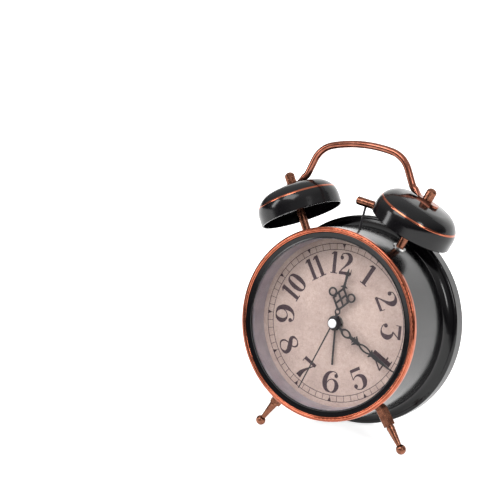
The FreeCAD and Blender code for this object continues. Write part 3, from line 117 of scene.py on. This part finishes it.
def between(tree, factor, low, high, start=0.35, end=0.65):
    """Colour or number that runs from low to high as factor runs from start to end."""
    share = add_node(tree, "ShaderNodeMapRange", {
        "Value": factor, "From Min": start, "From Max": end}).outputs["Result"]
    if isinstance(low, (int, float)):
        return add_node(tree, "ShaderNodeMapRange", {
            "Value": share, "To Min": low, "To Max": high}).outputs["Result"]
    return add_node(tree, "ShaderNodeMix", {0: share, 6: low, 7: high}, data_type="RGBA").outputs[2]


def ripple(tree, shader, height, depth):
    """Raises the surface by a height pattern, depth millimetres from trough to crest."""
    bump = add_node(tree, "ShaderNodeBump", {"Height": height, "Distance": depth * MM})
    tree.links.new(bump.outputs["Normal"], shader.inputs["Normal"])


def tint(tree, shader, factor, low, high, *ends):
    """Colours the surface from one sRGB hex colour to the other as factor runs."""
    tree.links.new(between(tree, factor, linear(low), linear(high), *ends), shader.inputs["Base Color"])


def polish(tree, shader, factor, low, high):
    """Roughens the surface from low to high as factor runs."""
    tree.links.new(between(tree, factor, low, high), shader.inputs["Roughness"])


# ---- materials ---------------------------------------------------------------------------------
def black_stove_enamel():
    """Black stove enamel sprayed on pressed steel: deep gloss with the faintest orange peel."""
    material, tree, shader = new_material("black_stove_enamel", {
        "Base Color": linear("#070608"), "IOR": 1.5, "Specular IOR Level": 0.3})
    cloud = mottle(tree, 9.0)
    polish(tree, shader, cloud, 0.13, 0.18)
    ripple(tree, shader, mottle(tree, 4.0, detail=1.0), 0.003)
    return material


def bright_copper_plate():
    """Bright rose copper plate under lacquer: a pink-orange mirror, hazed where it was buffed."""
    material, tree, shader = new_material("bright_copper_plate", {"Metallic": 1.0})
    cloud = mottle(tree, 6.0)
    tint(tree, shader, cloud, "#b0664e", "#96543f")
    polish(tree, shader, mottle(tree, 2.5), 0.12, 0.2)
    return material


def toned_copper_plate():
    """Copper plate toned under lacquer: red-brown with a clear bright highlight along a bend."""
    material, tree, shader = new_material("toned_copper_plate", {"Metallic": 1.0})
    cloud = mottle(tree, 5.0)
    tint(tree, shader, cloud, "#96604f", "#7b4838")
    polish(tree, shader, mottle(tree, 2.0), 0.16, 0.24)
    return material


def antiqued_copper_plate():
    """Copper plate toned brown in a bath: warm on the rubbed parts, nearly chocolate elsewhere."""
    material, tree, shader = new_material("antiqued_copper_plate", {"Metallic": 1.0})
    toning = mottle(tree, 2.4, detail=5.0, rough=0.65)
    tint(tree, shader, toning, "#5f3c30", "#8b5c48")
    polish(tree, shader, mottle(tree, 0.8), 0.2, 0.32)
    return material


def zinc_plated_steel():
    """Zinc-plated steel pressings and screws: cool light grey with a soft satin sheen."""
    material, tree, shader = new_material("zinc_plated_steel", {"Metallic": 1.0})
    cloud = mottle(tree, 1.8)
    tint(tree, shader, cloud, "#b9babb", "#d6d5d2")
    polish(tree, shader, cloud, 0.24, 0.36)
    return material


def clear_window_glass():
    """Flat window glass, cut and seamed: colourless, seen only by its reflections."""
    return new_material("clear_window_glass", {
        "Base Color": linear("#fbfdfc"), "Roughness": 0.0, "IOR": 1.5, "Transmission Weight": 1.0})[0]


def cream_styrene_painted_shade():
    """Cream polystyrene moulding with painted shade, coloured a warm lavender grey for the shade inside
    the bezel: smooth, low gloss, a little light glows through its skin.
    """
    material, tree, shader = new_material("cream_styrene_painted_shade", {
        "Roughness": 0.42, "Subsurface Weight": 0.1, "Subsurface Scale": 1.0 * MM})
    # painted shade: the cream wall and gasket get a shaded lavender grey in place of their own cream
    tint(tree, shader, mottle(tree, 7.0), "#82777e", "#93888d")
    return material


def aged_dial_paper():
    """Uncoated paper printed with an aged tint: beige and dusty pink clouds, fine fibre, no gloss."""
    material, tree, shader = new_material("aged_dial_paper", {
        "Roughness": 0.85, "Specular IOR Level": 0.25})
    clouds = between(tree, mottle(tree, 16.0, detail=4.0), linear("#b5a098"), linear("#a4908a"))
    blots = between(tree, mottle(tree, 1.9, detail=6.0, rough=0.85), 0.0, 0.8, 0.42, 0.7)
    tinted = add_node(tree, "ShaderNodeMix", {0: blots, 6: clouds, 7: linear("#927b77")},
                      data_type="RGBA").outputs[2]
    fibre = mottle(tree, 0.5, detail=2.0)
    flecks = between(tree, fibre, 0.0, 0.3, 0.52, 0.7)
    paper = add_node(tree, "ShaderNodeMix", {0: flecks, 6: tinted, 7: linear("#cfbdb1")},
                     data_type="RGBA").outputs[2]
    tree.links.new(paper, shader.inputs["Base Color"])
    ripple(tree, shader, fibre, 0.01)
    return material


def letterpress_ink():
    """Brown-black printing ink on paper: matt, a shade thinner where the paper's fibres show."""
    material, tree, shader = new_material("letterpress_ink", {
        "Roughness": 0.7, "Specular IOR Level": 0.3})
    tint(tree, shader, mottle(tree, 0.7), "#30232a", "#44343a")
    return material


def satin_black_lacquer():
    """Satin black lacquer on stamped brass hands: dark with a soft broad highlight."""
    material, tree, shader = new_material("satin_black_lacquer", {"Base Color": linear("#1c171c")})
    polish(tree, shader, mottle(tree, 0.6), 0.38, 0.5)
    return material


def polished_aluminium():
    """Satin-polished aluminium cap: very light and neutral, the turning haze blurs what it mirrors."""
    material, tree, shader = new_material("polished_aluminium", {"Metallic": 1.0})
    haze = mottle(tree, 0.5)
    tint(tree, shader, haze, "#eeeef2", "#fafafc")
    polish(tree, shader, haze, 0.4, 0.5)
    return material


def moulded_plastic(name, dark, light, rough, grain, depth):
    """Coloured moulding with a spark-eroded texture of that grain and depth in millimetres."""
    material, tree, shader = new_material(name, {"IOR": 1.49})
    texture = mottle(tree, grain, detail=2.0)
    tint(tree, shader, mottle(tree, 5.0), dark, light)
    polish(tree, shader, texture, rough - 0.06, rough + 0.06)
    ripple(tree, shader, texture, depth)
    return material


def natural_acetal():
    """Undyed acetal wheels and plates: milky white, waxy and smooth."""
    return moulded_plastic("natural_acetal", "#dcdcd4", "#e9e8e2", 0.4, 1.2, 0.003)


def textured_black_abs():
    """Black ABS with a fine spark texture: soft grey sheen that hides fingerprints."""
    return moulded_plastic("textured_black_abs", "#121213", "#1a1a1b", 0.46, 0.5, 0.02)


def red_abs():
    """Glossy red ABS switch button: saturated and smooth from a polished tool."""
    return moulded_plastic("red_abs", "#a81d18", "#b7261e", 0.26, 1.5, 0.002)


def turned_brass():
    """Turned brass: yellow metal with fine rings left by the lathe."""
    material, tree, shader = new_material("turned_brass", {"Metallic": 1.0})
    cloud = mottle(tree, 1.2)
    tint(tree, shader, cloud, "#c9a052", "#dcb768")
    polish(tree, shader, cloud, 0.22, 0.34)
    return material


def sintered_ferrite():
    """Sintered ferrite magnet: dull charcoal with a fine ceramic grain."""
    return moulded_plastic("sintered_ferrite", "#2b2a2b", "#3b3939", 0.62, 0.3, 0.02)


WIRE_RADIAN = 0.3            # millimetres of winding to one radian of the wave
WAVES = 20                   # a wave texture packs this many radians into one unit


def enamelled_copper_wire():
    """Enamelled copper winding: amber wire laid side by side, drawn coarser than it is to show."""
    material, tree, shader = new_material("enamelled_copper_wire", {
        "Base Color": linear("#b5602c"), "Metallic": 1.0, "Roughness": 0.3})
    place = add_node(tree, "ShaderNodeTexCoord")
    turns = add_node(tree, "ShaderNodeTexWave", {
        "Vector": place.outputs["Object"], "Scale": per_mm(WIRE_RADIAN) / WAVES}, bands_direction="X")
    ripple(tree, shader, turns.outputs["Fac"], 0.06)
    return material


def green_solder_resist():
    """Green solder resist over fibre board: semi-gloss with copper tracks showing lighter beneath."""
    material, tree, shader = new_material("green_solder_resist", {"Roughness": 0.34})
    place = add_node(tree, "ShaderNodeTexCoord")
    tracks = add_node(tree, "ShaderNodeTexVoronoi", {
        "Vector": place.outputs["Object"], "Scale": per_mm(2.4)}, distance="CHEBYCHEV")
    tint(tree, shader, tracks.outputs["Distance"], "#2f7a4b", "#175433", 0.2, 0.24)
    return material


JACKET_SHARE = 0.74          # of the cell's length that is blue


def battery_jacket():
    """Shrink sleeve on a steel can: deep blue with a copper-coloured band at the plus end."""
    low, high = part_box("battery")
    length = high[0] - low[0]
    material, tree, shader = new_material("battery_jacket", {"Roughness": 0.3, "Coat Weight": 0.3})
    place = add_node(tree, "ShaderNodeTexCoord")
    along = add_node(tree, "ShaderNodeSeparateXYZ", {0: place.outputs["Object"]}).outputs["X"]
    band = low[0] + JACKET_SHARE * length
    blur = 0.1 * MM
    tint(tree, shader, along, "#16305f", "#c07a3f", band - blur, band + blur)
    return material


def white_studio_vinyl():
    """Seamless white sweep lit from behind: matt and even, it only takes a soft contact shadow."""
    material, tree, shader = new_material("white_studio_vinyl", {
        "Roughness": 0.6, "Specular IOR Level": 0.2, "Emission Color": linear("#ffffff"),
        "Emission Strength": SWEEP_GLOW})
    tint(tree, shader, mottle(tree, 300.0), "#f7f6f5", "#fbfbfa")
    return material


def dress_nodes():
    """Gives each CAD node the finish of its material slot, with the record's slot names as the key."""
    finishes = {
        "black_paint": black_stove_enamel(), "copper_plate": bright_copper_plate(),
        "antique_copper": antiqued_copper_plate(), "steel": zinc_plated_steel(),
        "glass": clear_window_glass(), "cream_plastic": cream_styrene_painted_shade(),
        "dial_print": aged_dial_paper(), "hand_black": satin_black_lacquer(),
        "silver_cap": polished_aluminium(), "white_plastic": natural_acetal(),
        "black_plastic": textured_black_abs(), "switch_plastic": red_abs(), "brass": turned_brass(),
        "magnet": sintered_ferrite(), "coil_wire": enamelled_copper_wire(),
        "board": green_solder_resist(), "battery_case": battery_jacket()}
    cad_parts["handle"].material_slots[0].material = toned_copper_plate()
    for name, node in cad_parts.items():
        for slot in node.material_slots:
            key = slot.material.name.split(".")[0]
            if key in finishes:
                slot.material = finishes[key]
    return finishes


# ---- the clock's own frame: x right, y back, z toward 12 o'clock, zero on the dial's centre -----
def clock_frame():
    """Matrix from the clock's own frame, in millimetres, to the row frame, in metres."""
    low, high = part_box("dial")
    turn = Matrix.Rotation(-math.radians(CLOCK_LEAN), 4, "X")
    middle = (Vector(low) + Vector(high)) / 2
    origin = middle - turn @ Vector((0, DIAL_THICK / 2 * MM, 0))
    return Matrix.Translation(origin) @ turn @ Matrix.Scale(MM, 4)


CLOCK = clock_frame()


def add_mesh(name, points, faces, material, smooth=False):
    """A mesh piece from points in the clock's own frame; it rides on the case."""
    mesh = bpy.data.meshes.new(name)
    mesh.from_pydata([CLOCK @ Vector(p) for p in points], [], faces)
    mesh.materials.append(material)
    for face in mesh.polygons:
        face.use_smooth = smooth
    mesh.update()
    piece = bpy.data.objects.new(name, mesh)
    bpy.context.collection.objects.link(piece)
    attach(piece, "case")
    return piece


# ---- numerals ----------------------------------------------------------------------------------
# Each figure is drawn with a pen whose width changes along the stroke: (x, z, width) in
# millimetres about the figure's middle. A loop closes on itself and a ball is (x, z, radius).
NUMERALS = {
    "0": {"loops": [[(0, 5.6, 0.6), (-2.1, 4.2, 2.0), (-2.8, 0, 3.0), (-2.1, -4.2, 2.0),
                     (0, -5.6, 0.6), (2.1, -4.2, 2.0), (2.8, 0, 3.0), (2.1, 4.2, 2.0)]]},
    "1": {"strokes": [[(0, 6, 2.5), (0, -5.9, 2.5)], [(-2.3, -5.7, 0.6), (2.3, -5.7, 0.6)],
                      [(-2.6, 4.3, 0.3), (-1.8, 4.8, 0.9), (-0.6, 5.6, 1.3)]]},
    "2": {"strokes": [[(-3.5, 3.6, 0.6), (-2.4, 5.2, 0.6), (-0.1, 5.7, 0.9), (2.1, 4.9, 2.3),
                       (2.9, 2.9, 3.2), (1.9, 0.8, 2.3), (-0.2, -1.3, 1.2), (-2.4, -3.4, 0.8),
                       (-3.9, -5.4, 0.6)],
                      [(-4.0, -5.1, 1.8), (3.7, -5.1, 1.8)], [(3.75, -5.9, 0.5), (4.15, -2.6, 0.5)]],
          "balls": [(-2.75, 3.2, 1.15)]},
    "3": {"strokes": [[(-3.6, 5.2, 1.8), (3.6, 5.2, 1.8)], [(-3.7, 6, 0.5), (-3.9, 2.9, 0.5)],
                      [(3.5, 5.4, 0.7), (-0.2, 1.2, 0.7)],
                      [(-0.2, 1.2, 0.6), (1.5, 0.9, 1.5), (3.0, -1.1, 2.9), (2.9, -3.1, 2.9),
                       (1.6, -5.1, 1.6), (-0.4, -5.7, 0.7), (-2.6, -5.1, 0.6), (-3.7, -3.7, 0.6)]],
          "balls": [(-3.0, -3.2, 1.15)]},
    "4": {"strokes": [[(1.5, 6, 2.8), (1.5, -5.9, 2.8)], [(-1.2, -5.7, 0.6), (4.0, -5.7, 0.6)],
                      [(0.6, 5.9, 0.9), (-4.4, -2.4, 0.9)], [(-4.7, -2.6, 0.9), (4.3, -2.6, 0.9)]]},
    "5": {"strokes": [[(-2.7, 5.1, 1.9), (3.1, 5.1, 1.9)], [(-2.9, 5.9, 0.6), (-3.1, 0.4, 0.6)],
                      [(-3.1, 0.4, 0.5), (-1.5, 1.6, 0.7), (0.6, 1.8, 1.3), (2.8, 0.3, 2.6),
                       (3.3, -1.9, 3.2), (2.4, -4.3, 2.3), (0.1, -5.7, 0.8), (-2.3, -5.2, 0.6),
                       (-3.6, -3.8, 0.6)]],
          "balls": [(-2.9, -3.3, 1.15)]},
    "6": {"strokes": [[(3.6, 4.0, 0.6), (2.6, 5.3, 0.6), (0.7, 5.7, 0.7), (-1.8, 4.7, 1.8),
                       (-3.5, 1.9, 2.9), (-3.8, -1.4, 3.1), (-2.7, -4.4, 2.2), (0.1, -5.7, 0.7),
                       (2.4, -4.8, 1.7), (3.6, -2.2, 2.8), (2.8, 0.3, 1.9), (0.7, 1.5, 0.7),
                       (-1.5, 0.6, 0.6), (-2.6, -1.2, 0.5)]],
          "balls": [(2.85, 3.6, 1.15)]},
    "7": {"strokes": [[(-3.8, 5.0, 2.1), (4.0, 5.0, 2.1)], [(-3.9, 6, 0.5), (-4.1, 2.6, 0.5)],
                      [(3.9, 5.4, 0.6), (1.9, 2.7, 0.8), (0.0, -0.3, 1.5), (-1.2, -3.2, 2.7),
                       (-1.6, -6, 3.7)]]},
    "8": {"loops": [[(0.1, 5.7, 0.6), (-2.3, 4.6, 1.4), (-2.5, 2.7, 2.3), (0.1, 0.7, 3.0),
                     (2.7, -1.5, 2.9), (3.0, -4.1, 1.9), (0.0, -5.7, 0.6), (-3.2, -4.4, 1.0),
                     (-3.3, -1.9, 1.1), (-1.2, 0.1, 0.7), (1.2, 1.2, 0.7), (2.6, 2.8, 1.0),
                     (2.3, 4.7, 1.1)]]},
}
# hour: the figures it is set from and how far each stands right of the middle
SETTINGS = {
    10: (("1", -4.3), ("0", 2.5)),
    11: (("1", -2.6), ("1", 2.6)),
    12: (("1", -4.9), ("2", 1.9))}
NARROW = 0.92                # two-figure hours are set this much narrower
TOP_INWARD = (4, 5, 6, 7, 8)  # hours whose tops point at the dial's centre


def smooth_stroke(points, closed):
    """Catmull-Rom curve through the points of a stroke, width included."""
    if len(points) == 2:
        return points
    count = len(points)
    curve = []
    for i in range(count if closed else count - 1):
        if closed:
            a, b, c, d = (points[(i + k) % count] for k in (-1, 0, 1, 2))
        else:
            a, b, c, d = (points[min(max(i + k, 0), count - 1)] for k in (-1, 0, 1, 2))
        for step in range(CURVE_STEPS):
            t = step / CURVE_STEPS
            curve.append(tuple(
                0.5 * (2 * q + (r - p) * t + (2 * p - 5 * q + 4 * r - s) * t ** 2
                       + (3 * q - p - 3 * r + s) * t ** 3) for p, q, r, s in zip(a, b, c, d)))
    curve.append(curve[0] if closed else points[-1])
    return curve


def stroke_faces(points, closed, weight):
    """Four-sided patches along a stroke, each as (x, z) corners."""
    curve = smooth_stroke(points, closed)
    left, right = [], []
    last = len(curve) - 1
    for i, (x, z, width) in enumerate(curve):
        before = curve[i - 1] if i else curve[last - 1 if closed else 0]
        after = curve[i + 1] if i < last else curve[1 if closed else last]
        along = Vector((after[0] - before[0], after[1] - before[1])).normalized()
        half = width * weight / 2
        left.append((x - along.y * half, z + along.x * half))
        right.append((x + along.y * half, z - along.x * half))
    return [(left[i], left[i + 1], right[i + 1], right[i]) for i in range(last)]


def ball_face(x, z, radius):
    """Round patch at the end of a stroke."""
    turns = [math.tau * k / BALL_SIDES for k in range(BALL_SIDES)]
    return [(x + radius * math.cos(turn), z + radius * math.sin(turn)) for turn in turns]


def figure_faces(figure):
    """All patches of one figure; a nine is a six turned over."""
    if figure == "9":
        return [[(-x, -z) for x, z in face] for face in figure_faces("6")]
    shape = NUMERALS[figure]
    faces = [face for kind in ("strokes", "loops") for stroke in shape.get(kind, ())
             for face in stroke_faces(stroke, kind == "loops", INK_WEIGHT)]
    return faces + [ball_face(x, z, radius) for x, z, radius in shape.get("balls", ())]


def hour_faces(hour):
    """All patches of one hour's numeral, upright about its own middle."""
    if hour not in SETTINGS:
        return figure_faces(str(hour))
    return [[(x * NARROW + shift, z) for x, z in face]
            for figure, shift in SETTINGS[hour] for face in figure_faces(figure)]


def ink_piece(name, faces, ink):
    """Printed patches, each a list of (x, z) corners, as one piece just proud of the paper."""
    points, index = [], []
    for face in faces:
        index.append(range(len(points), len(points) + len(face)))
        points += [(x, -INK_LIFT, z) for x, z in face]
    return add_mesh(name, points, [list(i) for i in index], ink)


def dial_numerals(ink):
    """The twelve hours, each turned to stand on its own radius; the lower ones read upright."""
    faces = []
    for hour in range(1, 13):
        angle = math.radians(30 * hour)
        side = -1 if hour in TOP_INWARD else 1
        for face in hour_faces(hour):
            faces.append([(side * x * math.cos(angle) + (NUMERAL_R + side * z) * math.sin(angle),
                           -side * x * math.sin(angle) + (NUMERAL_R + side * z) * math.cos(angle))
                          for x, z in face])
    return ink_piece("dial_numerals", faces, ink)


def around(radius, turn):
    """Point on the dial at that radius, turn being its share of a full clockwise turn from 12."""
    return (radius * math.sin(math.tau * turn), radius * math.cos(math.tau * turn))


def minute_track(ink):
    """Two circles joined by sixty lines, with a wedge at each hour."""
    faces = []
    for radius in (TRACK_INNER_R, TRACK_OUTER_R):
        inner, outer = radius - TRACK_LINE / 2, radius + TRACK_LINE / 2
        faces += [[around(inner, k / RING_STEPS), around(inner, (k + 1) / RING_STEPS),
                   around(outer, (k + 1) / RING_STEPS), around(outer, k / RING_STEPS)]
                  for k in range(RING_STEPS)]
    for minute in range(60):
        half = MINUTE_LINE / 2 / TRACK_OUTER_R / math.tau
        turn = minute / 60
        faces.append([around(TRACK_INNER_R, turn - half), around(TRACK_OUTER_R, turn - half),
                      around(TRACK_OUTER_R, turn + half), around(TRACK_INNER_R, turn + half)])
        if minute % 5 == 0:
            half = WEDGE_HALF / TRACK_OUTER_R / math.tau
            faces.append([around(TRACK_OUTER_R, turn - half), around(TRACK_OUTER_R, turn + half),
                          around(TRACK_OUTER_R - WEDGE_DEPTH, turn)])
    return ink_piece("minute_track", faces, ink)


# ---- bells -------------------------------------------------------------------------------------
def bell_stripe(name, side, copper):
    """Copper band laid over the black round a bell's shoulder."""
    tilt = math.radians(BELL_TILT)
    axis = Vector((side * math.sin(tilt), 0, math.cos(tilt)))
    across = Vector((side * math.cos(tilt), 0, -math.sin(tilt)))
    bell_x = BELL_MOUTH / 2 + BELL_RIM_R * math.cos(tilt)
    base = Vector((side * bell_x, BELL_Y, math.sqrt(BELL_STAND_R ** 2 - bell_x ** 2)))
    centre = BELL_RIM_R - BELL_SHOULDER_R
    start = math.asin((STRIPE_LOW - BELL_WALL_H) / BELL_SHOULDER_R)
    end = math.asin((STRIPE_HIGH - BELL_WALL_H) / BELL_SHOULDER_R)
    profile = []
    for step in range(STRIPE_STEPS + 1):
        angle = start + (end - start) * step / STRIPE_STEPS
        edge = step in (0, STRIPE_STEPS)
        reach = BELL_SHOULDER_R + (-STRIPE_THICK if edge else STRIPE_THICK)
        profile.append((centre + reach * math.cos(angle), BELL_WALL_H + reach * math.sin(angle)))
    points = []
    for k in range(STRIPE_SIDES):
        turn = math.tau * k / STRIPE_SIDES
        out = across * math.cos(turn) + Vector((0, 1, 0)) * math.sin(turn)
        points += [base + out * radius + axis * height for radius, height in profile]
    rows = STRIPE_STEPS + 1
    faces = []
    for k in range(STRIPE_SIDES):
        here, there = k * rows, (k + 1) % STRIPE_SIDES * rows
        faces += [(here + j, here + j + 1, there + j + 1, there + j) for j in range(STRIPE_STEPS)]
    stripe = add_mesh(name, points, faces, copper, smooth=True)
    return stripe


# ---- stage -------------------------------------------------------------------------------------
FLOOR_HALF = 3.0
SWEEP_R = 1.2
SWEEP_STEPS = 16
SWEEP_GLOW = 0.8             # light that comes through the sweep itself
SKY_LOW = 0.08               # brightness of the room at the horizon
SKY_HIGH = 1.0               # and overhead
SKY_START, SKY_END = 0.1, 0.9   # heights between which it changes, 1 being straight up
LAMP_TARGET = (0, 0, 0.07)
# name: place and size in metres, power in watts
SOFT_BOXES = {
    "top_box": ((-0.2, -0.8, 1.1), (0.8, 0.5), 9),
    "left_box": ((-1.1, -0.9, 0.6), (0.3, 0.7), 6.5),
    "right_box": ((1.0, -0.6, 0.7), (0.25, 0.4), 4)}
SENSOR_WIDTH = 36.0
LENS = 109.2                 # millimetres of focal length
CAMERA_PLACE = (0.3731, -0.7049, 0.3222)
CAMERA_AHEAD = (-0.5066, 0.8205, -0.2647)
CAMERA_RIGHT = (0.8530, 0.5216, -0.0159)


def studio_sweep(material):
    """White floor that curves up into a backdrop behind the clock."""
    back = [(-FLOOR_HALF, 0.0), (FLOOR_HALF - SWEEP_R, 0.0)]
    for step in range(1, SWEEP_STEPS + 1):
        angle = math.pi / 2 * step / SWEEP_STEPS
        back.append((FLOOR_HALF - SWEEP_R + SWEEP_R * math.sin(angle), SWEEP_R * (1 - math.cos(angle))))
    back.append((FLOOR_HALF, FLOOR_HALF))
    points = [(x, y, z) for y, z in back for x in (-FLOOR_HALF, FLOOR_HALF)]
    faces = [(2 * i, 2 * i + 1, 2 * i + 3, 2 * i + 2) for i in range(len(back) - 1)]
    mesh = bpy.data.meshes.new("studio_sweep")
    mesh.from_pydata(points, [], faces)
    mesh.materials.append(material)
    for face in mesh.polygons:
        face.use_smooth = True
    sweep = bpy.data.objects.new("studio_sweep", mesh)
    bpy.context.collection.objects.link(sweep)


def soft_box(name, place, size, watts):
    """Rectangular soft box lamp that points at the clock."""
    lamp = bpy.data.lights.new(name, "AREA")
    lamp.shape = "RECTANGLE"
    lamp.size, lamp.size_y = size
    lamp.energy = watts
    box = bpy.data.objects.new(name, lamp)
    box.location = place
    box.rotation_euler = (Vector(LAMP_TARGET) - Vector(place)).to_track_quat("-Z", "Y").to_euler()
    bpy.context.collection.objects.link(box)


def studio_light():
    """Dim white room, brighter overhead, with a soft box above and one at each side."""
    world = bpy.data.worlds.new("studio")
    world.use_nodes = True
    tree = world.node_tree
    look = add_node(tree, "ShaderNodeTexCoord")
    height = add_node(tree, "ShaderNodeSeparateXYZ", {0: look.outputs["Generated"]}).outputs["Z"]
    room = tree.nodes["Background"]
    room.inputs["Color"].default_value = linear("#ffffff")
    strength = between(tree, height, SKY_LOW, SKY_HIGH, SKY_START, SKY_END)
    tree.links.new(strength, room.inputs["Strength"])
    bpy.context.scene.world = world
    for name, (place, size, watts) in SOFT_BOXES.items():
        soft_box(name, place, size, watts)


def studio_camera():
    """Long lens looking down a little from the front right."""
    camera = bpy.data.cameras.new("camera")
    camera.sensor_width = SENSOR_WIDTH
    camera.lens = LENS
    viewer = bpy.data.objects.new("camera", camera)
    ahead = Vector(CAMERA_AHEAD).normalized()
    right = Vector(CAMERA_RIGHT)
    right = (right - right.dot(ahead) * ahead).normalized()
    over = right.cross(ahead)
    turn = Matrix((right, over, -ahead)).transposed().to_4x4()
    viewer.matrix_world = Matrix.Translation(CAMERA_PLACE) @ turn
    bpy.context.collection.objects.link(viewer)
    bpy.context.scene.camera = viewer


finishes = dress_nodes()
ink = letterpress_ink()
dial_numerals(ink)
minute_track(ink)
for side, word in ((-1, "left"), (1, "right")):
    bell_stripe(f"bell_stripe_{word}", side, finishes["copper_plate"])
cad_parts["lens"].visible_shadow = False
studio_sweep(white_studio_vinyl())
studio_light()
studio_camera()
bpy.context.scene.view_settings.view_transform = "Standard"
